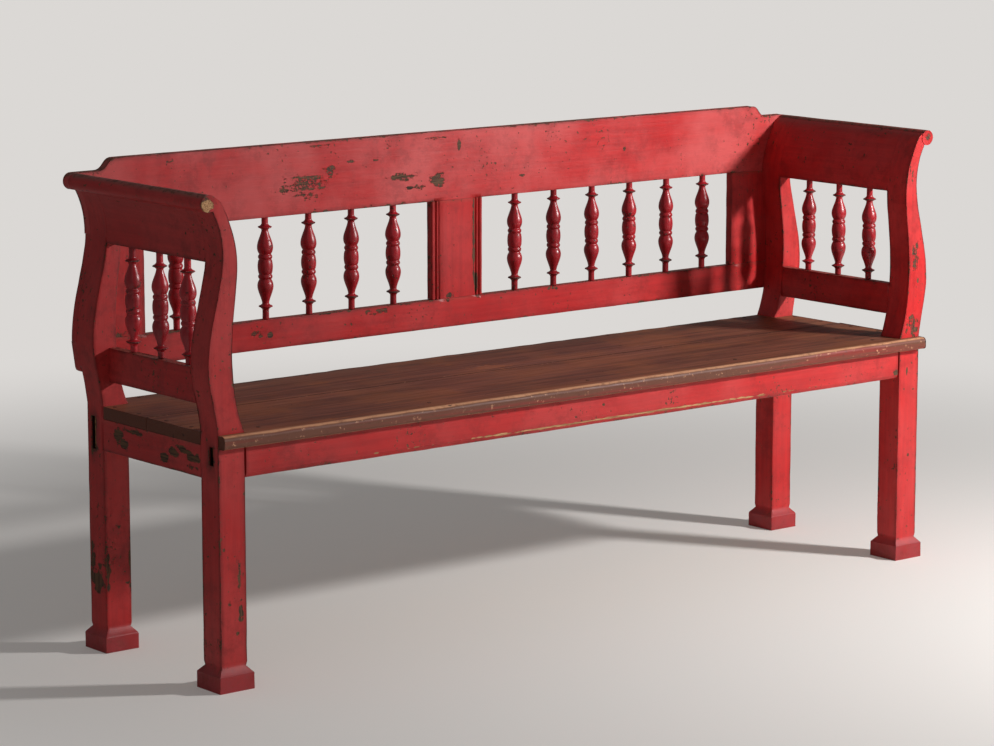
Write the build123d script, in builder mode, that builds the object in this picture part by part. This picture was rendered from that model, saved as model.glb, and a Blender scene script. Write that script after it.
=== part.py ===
from build123d import *
import os

# A painted pull-out bench bed: S-curved arms, a back of turned spindles, a seat of
# two boards, and a slatted bed frame that slides out from under the seat on two
# folding legs. Millimetres: +X along the bench, -Y the front, +Z up. The origin is
# on the floor under the middle of the bench.

os.makedirs("parts", exist_ok=True)

# ---------------------------------------------------------------- posts and feet
POST_SPAN_X = 1750.0  # over the outer faces of the posts
POST_SPAN_Y = 430.0
POST_SIZE = 56.0
FOOT_OVERHANG = 9.0  # foot block beyond each face of the leg
FOOT_BLOCK_HEIGHT = 30.0
FOOT_SHOULDER_RISE = 12.0
FOOT_NECK_INSET = 1.5  # waist just above the foot
FOOT_NECK_RISE = 8.0

# ---------------------------------------------------------------- seat
SEAT_HEIGHT = 465.0  # floor to the top of the boards
SEAT_THICKNESS = 24.0
SEAT_NOSING = 20.0  # front edge beyond the posts
SEAT_REAR_SETBACK = 2.0  # rear edge in front of the posts' rear faces
SEAT_JOINT_Y = 15.0  # where front and rear board meet
SEAT_NOTCH_CLEARANCE = 0.3
NOSING_TOP_RADIUS = 10.0
NOSING_BOTTOM_RADIUS = 6.0

# ---------------------------------------------------------------- seat frame
RAIL_HEIGHT = 60.0
SIDE_RAIL_THICKNESS = 28.0
SIDE_TENON_THICKNESS = 12.0
SIDE_TENON_SHOULDER = 8.0  # outside, above and below the tenon
TENON_WALL = 3.0  # wood left between two mortises in a post
REAR_RAIL_THICKNESS = 24.0
REAR_RAIL_INSET = 3.0  # rear rail in front of the posts' rear faces
FRONT_TIE_THICKNESS = 24.0
LONG_TENON_THICKNESS = 12.0  # barefaced tenons of the two long rails
LONG_TENON_RECESS = 8.0  # tenon's end short of the post's outer face
SEAT_BEARER_WIDTH = 50.0
SEAT_BEARER_GAP = 5.0  # above the bed frame

# ---------------------------------------------------------------- arms
ARM_RISE = 411.0  # seat to the centre of the arm's round top edge
ROLL_OUT = 13.0  # roll's centre beyond the post's outer face
ROLL_RADIUS = 16.0
ROLL_PROUD = 1.0  # roll's end in front of the stile
ROLL_BED_CLEARANCE = 0.1
ARM_BOARD_DROP = 111.0  # board's lower edge below the roll's centre
ARM_BOARD_TENON_THICKNESS = 10.0
ARM_BOARD_TENON_HEIGHT = 50.0
ARM_BOARD_TENON_INSET = 22.0  # tenon's outer cheek inside the post's outer face
ARM_TENON_LENGTH = 22.0
ARM_TENON_SHOULDER = 7.0  # wood below a tenon, and above the arm rail's
ARM_RAIL_LIFT = 43.0  # above the seat
ARM_RAIL_HEIGHT = 65.0
ARM_RAIL_THICKNESS = 20.0
ARM_RAIL_INSET = 15.0  # rail's outer face inside the post's outer face
ARM_RAIL_TENON_THICKNESS = 8.0
ARM_SPINDLE_POST_GAP = 69.5  # post to the middle of the next spindle

# The edges of an arm's stile, as (share of the arm's rise, distance outside the
# post's outer face). Both run on into the roll, to a point given as shares of its
# radius: how far inward, and how far up, from its centre.
STILE_OUTER_EDGE = [
    (0.114, 7.5),
    (0.250, 18.0),
    (0.470, 9.3),
    (0.679, -11.0),
    (0.785, -15.3),
    (0.883, -9.0),
]
STILE_OUTER_END = (0.40, -0.80)
STILE_INNER_EDGE = [
    (0.124, -40.0),
    (0.250, -33.7),
    (0.470, -34.7),
    (0.620, -42.5),
    (0.750, -45.5),
    (0.850, -39.0),
    (0.968, -20.0),
    (0.998, -13.0),
]
STILE_INNER_END = (0.38, 0.78)

# ---------------------------------------------------------------- back
BACK_THICKNESS = 20.0
LOWER_BACK_RAIL_LIFT = 56.0  # above the seat
LOWER_BACK_RAIL_HEIGHT = 58.0
LOWER_BACK_RAIL_CORNER = 9.0
CREST_DROP = 100.0  # lower edge below the rolls' centre
CREST_RISE = 38.0  # raised top above the rolls' centre
CREST_TOP_INSET = 75.0  # end of the raised top inside the post's outer face
CREST_COVE_LENGTH = 38.0
CREST_COVE_BEND = (0.36, 0.22)  # shares of the cove's length and drop
BACK_PANEL_THICKNESS = 18.0
BACK_STILE_REACH = 133.0  # inner edge inside the post's outer face
BACK_STILE_TENON_INSET = 43.0  # tenons' outer edge inside the post's outer face
PANEL_TENON_THICKNESS = 8.0
PANEL_TENON_LENGTH = 15.0
PANEL_TENON_SHOULDER = 20.0
MUNTIN_WIDTH = 129.0
MUNTIN_BEAD_RADIUS = 4.5
MUNTIN_SMALL_BEAD_RADIUS = 3.0
MUNTIN_QUIRK_WIDTH = 2.5
MUNTIN_QUIRK_DEPTH = 4.0
BACK_SPINDLES_PER_BAY = 6
BACK_SPINDLE_MUNTIN_GAP = 90.0  # muntin's edge to the middle of the next spindle
BACK_SPINDLE_STILE_GAP = 75.5

# ---------------------------------------------------------------- spindles
SPINDLE_TENON_RADIUS = 6.0
SPINDLE_TENON_LENGTH = 12.0
SPINDLE_HOLE_CLEARANCE = 0.05
SPINDLE_HOLE_SPARE = 1.0  # hole deeper than the tenon is long
SPINDLE_BALL_RADIUS = 15.0
SPINDLE_GROOVE_RADIUS = 11.8
SPINDLE_BEAD_RADIUS = 14.1
SPINDLE_VASE_RADIUS = 15.6
SPINDLE_WAIST_RADIUS = 10.3
SPINDLE_NECK_RADIUS = 6.8
SPINDLE_COLLAR_RADIUS = 13.7
SPINDLE_COLLAR_RIM = 2.2  # collar's thickness at its rim
SPINDLE_COLLAR_FLARE = 0.24  # how far a collar's flanks stand out, 0 is a thin disc
SPINDLE_SHANK_RADIUS = 6.6

# Heights on half a spindle, as shares of that half, from its middle outwards.
SPINDLE_BALL_END = 0.130
SPINDLE_BEAD = (0.145, 0.192, 0.240)
SPINDLE_VASE = (0.250, 0.408, 0.590, 0.715)
SPINDLE_COLLAR = (0.722, 0.776, 0.845)
BACK_SPINDLE_LIFT = 3.0  # middle of the turned shape above the middle between the rails
ARM_SPINDLE_LIFT = -3.0

# ---------------------------------------------------------------- nails
NAIL_SHANK_RADIUS = 1.6
NAIL_HEAD_RADIUS = 4.0
NAIL_HEAD_THICKNESS = 1.5
NAIL_FIT_CLEARANCE = 0.01
NAIL_TIP_COVER = 9.0  # wood left beyond the tip
LONG_RAIL_NAILS = 5
LONG_RAIL_NAIL_INSET = 50.0  # last nail inside the post's inner face
END_NAIL_FROM_JOINT = 45.0
END_NAIL_FROM_FRONT_POST = 49.0  # last nail to the post's inner face
END_NAIL_FROM_REAR_POST = 19.0
BACK_NAIL_INSET = 16.0  # above the rails' lower edges
BACK_NAIL_PITCH = 26.0

# ---------------------------------------------------------------- pull-out bed frame
APRON_THICKNESS = 16.0
APRON_LIFT = 1.5  # above the side rails' lower edges
APRON_END_GAP = 2.5
APRON_TOP_GAP = 1.0
APRON_BACK_GAP = 1.0  # to the front tie rail
APRON_EDGE_RADIUS = 2.0
APRON_CHAMFER = (4.0, 9.0)  # along its lower front edge: depth and height
BED_LIFT = 3.0  # above the side rails' lower edges
BED_RAIL_SIZE = 22.0
BED_TOP_GAP = 2.0  # under the front tie rail
BED_REAR_GAP = 17.0  # to the rear seat rail
BED_BEARER_WIDTH = 30.0
BED_BEARER_GAP = 5.0  # end bearer to the posts' inner faces
BED_MIDDLE_WIDTH = 40.0
BED_TENON_SHOULDER = 6.0
BED_TENON_WALL = 6.0  # tenon's end to the floor of the runner's groove
BED_SLATS_PER_SIDE = 7
BED_SLAT_WIDTH = 70.0
BED_SLAT_THICKNESS = 12.0
BED_SLAT_REST = 10.0
BED_SLAT_END_GAP = 16.0
RUNNER_HEIGHT = 20.0
RUNNER_GAP = 2.0  # runner's body to the end bearer
TONGUE_HEIGHT = 9.0
TONGUE_SIDE_GAP = 0.3
TONGUE_TIP_GAP = 1.2
GROOVE_DEPTH = 10.0
PULL_OUT_TRAVEL = 250.0
STOP_LENGTH = 20.0
STOP_HEIGHT = 16.0
STOP_GAP = 0.5
LEG_THICKNESS = 25.0
LEG_SIDE_GAP = 0.5
LEG_FLOOR_GAP = 1.5
LEG_FOOT_RADIUS = 3.0
LEG_PIVOT_INSET = 16.0  # pivot inside the end bearer
PIN_RADIUS = 4.0
PIN_RUNNING_CLEARANCE = 0.08
PIN_SEAT_CLEARANCE = 0.01
PIN_APRON_DEPTH = 8.0

# ---------------------------------------------------------------- derived places
SIDES = {"left": -1, "right": 1}
ENDS = {"front": -1, "rear": 1}
HALF_X = POST_SPAN_X / 2
HALF_Y = POST_SPAN_Y / 2
POST_INNER_X = HALF_X - POST_SIZE
POST_INNER_Y = HALF_Y - POST_SIZE
SEAT_FRONT_Y = -HALF_Y - SEAT_NOSING
SEAT_REAR_Y = HALF_Y - SEAT_REAR_SETBACK

RAIL_TOP = SEAT_HEIGHT - SEAT_THICKNESS
RAIL_LOW = RAIL_TOP - RAIL_HEIGHT
BED_LOW = RAIL_LOW + BED_LIFT
BED_TOP = BED_LOW + BED_RAIL_SIZE
BED_MIDDLE = BED_LOW + BED_RAIL_SIZE / 2
TIE_LOW = BED_TOP + BED_TOP_GAP
APRON_BACK_Y = -HALF_Y + APRON_THICKNESS
TIE_FRONT_Y = APRON_BACK_Y + APRON_BACK_GAP
TIE_BACK_Y = TIE_FRONT_Y + FRONT_TIE_THICKNESS
TIE_TENON_Y = (TIE_FRONT_Y, TIE_FRONT_Y + LONG_TENON_THICKNESS)
REAR_RAIL_BACK_Y = HALF_Y - REAR_RAIL_INSET
REAR_RAIL_FRONT_Y = REAR_RAIL_BACK_Y - REAR_RAIL_THICKNESS
REAR_TENON_Y = (REAR_RAIL_FRONT_Y, REAR_RAIL_FRONT_Y + LONG_TENON_THICKNESS)
LONG_TENON_END_X = HALF_X - LONG_TENON_RECESS
SIDE_RAIL_INNER_X = HALF_X - SIDE_RAIL_THICKNESS
SIDE_TENON_X = (HALF_X - SIDE_TENON_SHOULDER - SIDE_TENON_THICKNESS, HALF_X - SIDE_TENON_SHOULDER)
SIDE_TENON_Y = (TIE_TENON_Y[1] + TENON_WALL, REAR_TENON_Y[0] - TENON_WALL)
SIDE_TENON_Z = (RAIL_LOW + SIDE_TENON_SHOULDER, RAIL_TOP - SIDE_TENON_SHOULDER)

ROLL_HEIGHT = SEAT_HEIGHT + ARM_RISE
ROLL_TOP = ROLL_HEIGHT + ROLL_RADIUS
ARM_TENON_END_Y = POST_INNER_Y + ARM_TENON_LENGTH
ARM_BOARD_LOW = ROLL_HEIGHT - ARM_BOARD_DROP
ARM_BOARD_TENON_OUTER = HALF_X - ARM_BOARD_TENON_INSET
ARM_BOARD_TENON_X = (ARM_BOARD_TENON_OUTER - ARM_BOARD_TENON_THICKNESS, ARM_BOARD_TENON_OUTER)
ARM_BOARD_TENON_LOW = ARM_BOARD_LOW + ARM_TENON_SHOULDER
ARM_BOARD_TENON_Z = (ARM_BOARD_TENON_LOW, ARM_BOARD_TENON_LOW + ARM_BOARD_TENON_HEIGHT)
ARM_RAIL_LOW = SEAT_HEIGHT + ARM_RAIL_LIFT
ARM_RAIL_TOP = ARM_RAIL_LOW + ARM_RAIL_HEIGHT
ARM_RAIL_OUTER = HALF_X - ARM_RAIL_INSET
ARM_RAIL_X = (ARM_RAIL_OUTER - ARM_RAIL_THICKNESS, ARM_RAIL_OUTER)
ARM_RAIL_MIDDLE = ARM_RAIL_OUTER - ARM_RAIL_THICKNESS / 2
ARM_RAIL_TENON_X = (
    ARM_RAIL_MIDDLE - ARM_RAIL_TENON_THICKNESS / 2,
    ARM_RAIL_MIDDLE + ARM_RAIL_TENON_THICKNESS / 2,
)
ARM_RAIL_TENON_Z = (ARM_RAIL_LOW + ARM_TENON_SHOULDER, ARM_RAIL_TOP - ARM_TENON_SHOULDER)
ARM_SPINDLE_PITCH = POST_INNER_Y - ARM_SPINDLE_POST_GAP
ARM_SPINDLE_YS = {"front": -ARM_SPINDLE_PITCH, "middle": 0.0, "rear": ARM_SPINDLE_PITCH}

BACK_REAR_Y = HALF_Y + BACK_THICKNESS
PANEL_TENON_Y = (
    HALF_Y + (BACK_PANEL_THICKNESS - PANEL_TENON_THICKNESS) / 2,
    HALF_Y + (BACK_PANEL_THICKNESS + PANEL_TENON_THICKNESS) / 2,
)
LOWER_BACK_RAIL_LOW = SEAT_HEIGHT + LOWER_BACK_RAIL_LIFT
LOWER_BACK_RAIL_TOP = LOWER_BACK_RAIL_LOW + LOWER_BACK_RAIL_HEIGHT
CREST_LOW = ROLL_HEIGHT - CREST_DROP
CREST_TOP = ROLL_HEIGHT + CREST_RISE
CREST_TOP_HALF = HALF_X - CREST_TOP_INSET
COVE_END = CREST_TOP_HALF + CREST_COVE_LENGTH
PANEL_TENON_Z = (LOWER_BACK_RAIL_TOP - PANEL_TENON_LENGTH, CREST_LOW + PANEL_TENON_LENGTH)
BACK_STILE_INNER = HALF_X - BACK_STILE_REACH
STILE_TENON_X = (BACK_STILE_INNER + PANEL_TENON_SHOULDER, HALF_X - BACK_STILE_TENON_INSET)
MUNTIN_TENON_HALF = MUNTIN_WIDTH / 2 - PANEL_TENON_SHOULDER
PANEL_TENONS_X = {
    "left": tuple(-x for x in STILE_TENON_X),
    "center": (-MUNTIN_TENON_HALF, MUNTIN_TENON_HALF),
    "right": STILE_TENON_X,
}
BACK_SPINDLE_Y = HALF_Y + BACK_THICKNESS / 2
BACK_SPINDLE_FIRST_X = MUNTIN_WIDTH / 2 + BACK_SPINDLE_MUNTIN_GAP
BACK_SPINDLE_LAST_X = BACK_STILE_INNER - BACK_SPINDLE_STILE_GAP
BACK_SPINDLE_PITCH = (BACK_SPINDLE_LAST_X - BACK_SPINDLE_FIRST_X) / (BACK_SPINDLES_PER_BAY - 1)
BACK_SPINDLE_XS = [BACK_SPINDLE_FIRST_X + n * BACK_SPINDLE_PITCH for n in range(BACK_SPINDLES_PER_BAY)]
BACK_SPINDLE_PLACES = [(side * x, BACK_SPINDLE_Y) for side in SIDES.values() for x in BACK_SPINDLE_XS]
SPINDLE_HOLE_RADIUS = SPINDLE_TENON_RADIUS + SPINDLE_HOLE_CLEARANCE
SPINDLE_HOLE_DEPTH = SPINDLE_TENON_LENGTH + SPINDLE_HOLE_SPARE

APRON_HALF = POST_INNER_X - APRON_END_GAP
BED_BEARER_OUTER_X = POST_INNER_X - BED_BEARER_GAP
BED_BEARER_INNER_X = BED_BEARER_OUTER_X - BED_BEARER_WIDTH
GROOVE_FLOOR_X = BED_BEARER_OUTER_X - GROOVE_DEPTH
GROOVE_Z = (
    BED_MIDDLE - TONGUE_HEIGHT / 2 - TONGUE_SIDE_GAP,
    BED_MIDDLE + TONGUE_HEIGHT / 2 + TONGUE_SIDE_GAP,
)
BED_REAR_Y = REAR_RAIL_FRONT_Y - BED_REAR_GAP
LEG_SLOT_BACK_Y = APRON_BACK_Y + LEG_THICKNESS + 2 * LEG_SIDE_GAP
FRONT_CROSS_Y = (LEG_SLOT_BACK_Y, LEG_SLOT_BACK_Y + BED_RAIL_SIZE)
REAR_CROSS_Y = (BED_REAR_Y - BED_RAIL_SIZE, BED_REAR_Y)
BED_TENON_END_X = GROOVE_FLOOR_X - BED_TENON_WALL
BED_TENON_Z = (BED_LOW + BED_TENON_SHOULDER, BED_TOP - BED_TENON_SHOULDER)
SLAT_Y = (FRONT_CROSS_Y[1] - BED_SLAT_REST, REAR_CROSS_Y[0] + BED_SLAT_REST)
SLAT_Z = (BED_TOP - BED_SLAT_THICKNESS, BED_TOP)
SLAT_FIRST_X = BED_MIDDLE_WIDTH / 2 + BED_SLAT_END_GAP
SLAT_LAST_X = BED_BEARER_INNER_X - BED_SLAT_END_GAP - BED_SLAT_WIDTH
SLAT_PITCH = (SLAT_LAST_X - SLAT_FIRST_X) / (BED_SLATS_PER_SIDE - 1)
LEG_PIVOT_X = BED_BEARER_INNER_X - LEG_PIVOT_INSET
LEG_WIDTH = BED_RAIL_SIZE - 2 * LEG_SIDE_GAP
LEG_LENGTH = BED_MIDDLE - LEG_FLOOR_GAP
PIN_Y = (APRON_BACK_Y - PIN_APRON_DEPTH, SLAT_Y[0])
STOP_FRONT_Y = TIE_BACK_Y + STOP_GAP + PULL_OUT_TRAVEL

SEAT_NAIL_LENGTH = SEAT_HEIGHT - TIE_LOW - NAIL_TIP_COVER
BACK_NAIL_LENGTH = BACK_REAR_Y - ARM_TENON_END_Y - NAIL_TIP_COVER
LONG_NAIL_PITCH = 2 * (POST_INNER_X - LONG_RAIL_NAIL_INSET) / (LONG_RAIL_NAILS - 1)
LONG_NAIL_XS = [(n - (LONG_RAIL_NAILS - 1) / 2) * LONG_NAIL_PITCH for n in range(LONG_RAIL_NAILS)]
END_NAIL_XS = [side * (HALF_X - SIDE_RAIL_THICKNESS / 2) for side in SIDES.values()]
FRONT_END_NAIL_YS = (SEAT_JOINT_Y - END_NAIL_FROM_JOINT, END_NAIL_FROM_FRONT_POST - POST_INNER_Y)
REAR_END_NAIL_YS = (SEAT_JOINT_Y + END_NAIL_FROM_JOINT, POST_INNER_Y - END_NAIL_FROM_REAR_POST)


# ---------------------------------------------------------------- helpers
def block(x_limits, y_limits, z_limits, mode=Mode.ADD):
    """A square-edged block between limits, added to or cut from the part."""
    limits = [sorted(pair) for pair in (x_limits, y_limits, z_limits)]
    with Locations(tuple((low + high) / 2 for low, high in limits)):
        Box(*(high - low for low, high in limits), mode=mode)


def on_side(side, limits):
    """Limits along X, given for the right-hand end, at either end of the bench."""
    return (side * limits[0], side * limits[1])


def round_holes(places, low, high, radius):
    """Upright round holes between two heights."""
    upright = (Align.CENTER, Align.CENTER, Align.MIN)
    with Locations(*[(x, y, low) for x, y in places]):
        Cylinder(radius, high - low, align=upright, mode=Mode.SUBTRACT)


def nail_holes(planes, length):
    """Holes for nails driven in from their planes, heads flush."""
    with Locations(*planes):
        CounterBoreHole(
            NAIL_SHANK_RADIUS + NAIL_FIT_CLEARANCE,
            NAIL_HEAD_RADIUS + NAIL_FIT_CLEARANCE,
            NAIL_HEAD_THICKNESS,
            length,
        )


def make_nails(name, planes, length):
    """One group of nails with flat heads, flush with their planes."""
    hanging = (Align.CENTER, Align.CENTER, Align.MAX)
    with BuildPart() as group:
        with Locations(*planes):
            Cylinder(NAIL_HEAD_RADIUS, NAIL_HEAD_THICKNESS, align=hanging)
            Cylinder(NAIL_SHANK_RADIUS, length, align=hanging)
    finish(group, name)


def stile_points(side, edge):
    """Points of a stile's edge in the X-Z plane."""
    return [(side * (HALF_X + out), SEAT_HEIGHT + share * ARM_RISE) for share, out in edge]


def roll_centre(side):
    """Centre of the arm's round top edge in the X-Z plane."""
    return (side * (HALF_X + ROLL_OUT), ROLL_HEIGHT)


def inside_roll(side, end):
    """Where an edge of the stile ends, inside the circle of the roll."""
    x, z = roll_centre(side)
    inward, up = end
    return (x - side * inward * ROLL_RADIUS, z + up * ROLL_RADIUS)


def stile_section(side, low):
    """The S-shaped section of a stile, from a height up to the bed of the roll."""
    outer_foot = (side * HALF_X, SEAT_HEIGHT)
    inner_foot = (side * POST_INNER_X, SEAT_HEIGHT)
    outer_end = inside_roll(side, STILE_OUTER_END)
    inner_end = inside_roll(side, STILE_INNER_END)
    with BuildSketch() as section:
        with BuildLine():
            Spline(outer_foot, *stile_points(side, STILE_OUTER_EDGE), outer_end)
            Polyline(outer_end, roll_centre(side), inner_end)
            Spline(inner_end, *reversed(stile_points(side, STILE_INNER_EDGE)), inner_foot)
            Line(inner_foot, outer_foot)
        make_face()
        with Locations(roll_centre(side)):
            Circle(ROLL_RADIUS + ROLL_BED_CLEARANCE, mode=Mode.SUBTRACT)
        with Locations((side * HALF_X, (low + ROLL_TOP) / 2)):
            Rectangle(4 * POST_SIZE, ROLL_TOP - low, mode=Mode.INTERSECT)
    return section.sketch


def back_section(low, high):
    """All between the outer edges of the stiles, rolls included, between two heights."""
    with BuildSketch() as section:
        for side in SIDES.values():
            foot = (side * HALF_X, SEAT_HEIGHT)
            roll = roll_centre(side)
            outer_end = inside_roll(side, STILE_OUTER_END)
            with BuildLine():
                Spline(foot, *stile_points(side, STILE_OUTER_EDGE), outer_end)
                Polyline(outer_end, roll, (roll[0], ROLL_TOP), (0, ROLL_TOP), (0, SEAT_HEIGHT), foot)
            make_face()
            with Locations(roll):
                Circle(ROLL_RADIUS)
        with Locations((0, (low + high) / 2)):
            Rectangle(2 * POST_SPAN_X, high - low, mode=Mode.INTERSECT)
    return section.sketch


def finish(piece, name):
    """Label a finished piece and write it."""
    piece.part.label = name
    export_step(piece.part, f"parts/{name}.step")
    print(f"{name}: {piece.part.volume / 1000:.0f} cm3")


# ---------------------------------------------------------------- nail places
def seat_planes(places):
    """Planes on the seat's top, one for each nail."""
    return [Plane(origin=(x, y, SEAT_HEIGHT)) for x, y in places]


def stile_middle(side, height):
    """Middle of a stile's width at a height, on straight lines between its points."""
    share = (height - SEAT_HEIGHT) / ARM_RISE
    outs = []
    for edge in (STILE_OUTER_EDGE, STILE_INNER_EDGE):
        above = next(n for n, point in enumerate(edge) if point[0] >= share)
        (low_share, low_out), (high_share, high_out) = edge[above - 1], edge[above]
        along = (share - low_share) / (high_share - low_share)
        outs.append(low_out + along * (high_out - low_out))
    return side * (HALF_X + sum(outs) / 2)


def back_planes(rail_low):
    """Planes on the back's rear face, for two nails into each rear stile."""
    return [
        Plane(origin=(stile_middle(side, height), BACK_REAR_Y, height), z_dir=(0, 1, 0))
        for side in SIDES.values()
        for height in (rail_low + BACK_NAIL_INSET, rail_low + BACK_NAIL_INSET + BACK_NAIL_PITCH)
    ]


TIE_NAIL_Y = (TIE_FRONT_Y + TIE_BACK_Y) / 2
REAR_NAIL_Y = (REAR_RAIL_FRONT_Y + REAR_RAIL_BACK_Y) / 2
TIE_NAILS = seat_planes([(x, TIE_NAIL_Y) for x in LONG_NAIL_XS])
REAR_NAILS = seat_planes([(x, REAR_NAIL_Y) for x in LONG_NAIL_XS])
FRONT_END_NAILS = seat_planes([(x, y) for x in END_NAIL_XS for y in FRONT_END_NAIL_YS])
REAR_END_NAILS = seat_planes([(x, y) for x in END_NAIL_XS for y in REAR_END_NAIL_YS])
CREST_NAILS = back_planes(CREST_LOW)
LOWER_RAIL_NAILS = back_planes(LOWER_BACK_RAIL_LOW)


# ---------------------------------------------------------------- posts
def make_post(side_name, end_name):
    """Foot, leg and S-curved stile in one piece, mortised for the rails."""
    side, end = SIDES[side_name], ENDS[end_name]
    front = end_name == "front"
    centre = (side * (HALF_X - POST_SIZE / 2), end * (HALF_Y - POST_SIZE / 2))
    foot_size = POST_SIZE + 2 * FOOT_OVERHANG
    neck_size = POST_SIZE - 2 * FOOT_NECK_INSET
    neck_height = FOOT_BLOCK_HEIGHT + FOOT_SHOULDER_RISE
    leg_low = neck_height + FOOT_NECK_RISE
    shoulder = ((FOOT_BLOCK_HEIGHT, foot_size), (neck_height, neck_size))
    neck = ((neck_height, neck_size), (leg_low, POST_SIZE))
    post_x = on_side(side, (POST_INNER_X, HALF_X))
    post_y = (end * POST_INNER_Y, end * HALF_Y)
    side_tenon_y = (post_y[0], SIDE_TENON_Y[0] if front else SIDE_TENON_Y[1])
    arm_tenon_y = (post_y[0], end * ARM_TENON_END_Y)
    long_tenon_low = TIE_LOW if front else RAIL_LOW
    section = stile_section(side, SEAT_HEIGHT)
    with BuildPart() as post:
        with BuildSketch():
            with Locations(centre):
                Rectangle(foot_size, foot_size)
        extrude(amount=FOOT_BLOCK_HEIGHT)
        for tapered in (shoulder, neck):
            for height, size in tapered:
                with BuildSketch(Plane.XY.offset(height)):
                    with Locations(centre):
                        Rectangle(size, size)
            loft()
        block(post_x, post_y, (leg_low, SEAT_HEIGHT))
        with BuildSketch(Plane.XZ.offset(-max(post_y))):
            add(section)
        extrude(amount=POST_SIZE)
        block(
            post_x,
            TIE_TENON_Y if front else REAR_TENON_Y,
            (long_tenon_low, RAIL_TOP),
            Mode.SUBTRACT,
        )
        block(on_side(side, SIDE_TENON_X), side_tenon_y, SIDE_TENON_Z, Mode.SUBTRACT)
        block(on_side(side, ARM_RAIL_TENON_X), arm_tenon_y, ARM_RAIL_TENON_Z, Mode.SUBTRACT)
        block(on_side(side, ARM_BOARD_TENON_X), arm_tenon_y, ARM_BOARD_TENON_Z, Mode.SUBTRACT)
        if not front:
            nail_holes(CREST_NAILS + LOWER_RAIL_NAILS, BACK_NAIL_LENGTH)
    finish(post, f"{end_name}_{side_name}_post")


for side_name in SIDES:
    for end_name in ENDS:
        make_post(side_name, end_name)

# ---------------------------------------------------------------- seat frame
for side_name, side in SIDES.items():
    # Rail under the end of the seat, flush with the posts' outer faces.
    with BuildPart() as side_rail:
        block(
            on_side(side, (SIDE_RAIL_INNER_X, HALF_X)),
            (-POST_INNER_Y, POST_INNER_Y),
            (RAIL_LOW, RAIL_TOP),
        )
        block(on_side(side, SIDE_TENON_X), SIDE_TENON_Y, SIDE_TENON_Z)
        nail_holes(FRONT_END_NAILS + REAR_END_NAILS, SEAT_NAIL_LENGTH)
    finish(side_rail, f"{side_name}_side_rail")

    # Runner on the inside of that rail; its tongue carries the bed frame.
    runner_inner = BED_BEARER_OUTER_X + RUNNER_GAP
    with BuildPart() as runner:
        block(
            on_side(side, (runner_inner, SIDE_RAIL_INNER_X)),
            (-POST_INNER_Y, POST_INNER_Y),
            (BED_MIDDLE - RUNNER_HEIGHT / 2, BED_MIDDLE + RUNNER_HEIGHT / 2),
        )
        block(
            on_side(side, (GROOVE_FLOOR_X + TONGUE_TIP_GAP, runner_inner)),
            (-POST_INNER_Y, POST_INNER_Y),
            (BED_MIDDLE - TONGUE_HEIGHT / 2, BED_MIDDLE + TONGUE_HEIGHT / 2),
        )
    finish(runner, f"{side_name}_runner")

with BuildPart() as front_tie_rail:
    block((-POST_INNER_X, POST_INNER_X), (TIE_FRONT_Y, TIE_BACK_Y), (TIE_LOW, RAIL_TOP))
    block((-LONG_TENON_END_X, LONG_TENON_END_X), TIE_TENON_Y, (TIE_LOW, RAIL_TOP))
    nail_holes(TIE_NAILS, SEAT_NAIL_LENGTH)
finish(front_tie_rail, "front_tie_rail")

with BuildPart() as rear_seat_rail:
    block((-POST_INNER_X, POST_INNER_X), (REAR_RAIL_FRONT_Y, REAR_RAIL_BACK_Y), (RAIL_LOW, RAIL_TOP))
    block((-LONG_TENON_END_X, LONG_TENON_END_X), REAR_TENON_Y, (RAIL_LOW, RAIL_TOP))
    nail_holes(REAR_NAILS, SEAT_NAIL_LENGTH)
finish(rear_seat_rail, "rear_seat_rail")

with BuildPart() as seat_bearer:
    block(
        (-SEAT_BEARER_WIDTH / 2, SEAT_BEARER_WIDTH / 2),
        (TIE_BACK_Y, REAR_RAIL_FRONT_Y),
        (BED_TOP + SEAT_BEARER_GAP, RAIL_TOP),
    )
finish(seat_bearer, "seat_bearer")


# ---------------------------------------------------------------- seat boards
def cut_notches(y_limits):
    """Notches round a pair of posts, open at the ends of the board."""
    for side in SIDES.values():
        notch_x = on_side(side, (POST_INNER_X - SEAT_NOTCH_CLEARANCE, HALF_X + POST_SIZE))
        block(notch_x, y_limits, (RAIL_TOP, SEAT_HEIGHT), Mode.SUBTRACT)


NOTCH_INNER_Y = POST_INNER_Y - SEAT_NOTCH_CLEARANCE

with BuildPart() as front_seat_board:
    block((-HALF_X, HALF_X), (SEAT_FRONT_Y, SEAT_JOINT_Y), (RAIL_TOP, SEAT_HEIGHT))
    front_edges = edges().filter_by(Axis.X).group_by(Axis.Y)[0].sort_by(Axis.Z)
    fillet(front_edges[-1], NOSING_TOP_RADIUS)
    lower_edges = edges().filter_by(Axis.X).group_by(Axis.Z)[0].sort_by(Axis.Y)
    fillet(lower_edges[0], NOSING_BOTTOM_RADIUS)
    cut_notches((-HALF_Y - SEAT_NOTCH_CLEARANCE, -NOTCH_INNER_Y))
    nail_holes(TIE_NAILS + FRONT_END_NAILS, SEAT_NAIL_LENGTH)
finish(front_seat_board, "front_seat_board")

with BuildPart() as rear_seat_board:
    block((-HALF_X, HALF_X), (SEAT_JOINT_Y, SEAT_REAR_Y), (RAIL_TOP, SEAT_HEIGHT))
    cut_notches((NOTCH_INNER_Y, HALF_Y))
    nail_holes(REAR_NAILS + REAR_END_NAILS, SEAT_NAIL_LENGTH)
finish(rear_seat_board, "rear_seat_board")

make_nails("seat_nails", TIE_NAILS + REAR_NAILS + FRONT_END_NAILS + REAR_END_NAILS, SEAT_NAIL_LENGTH)


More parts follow.
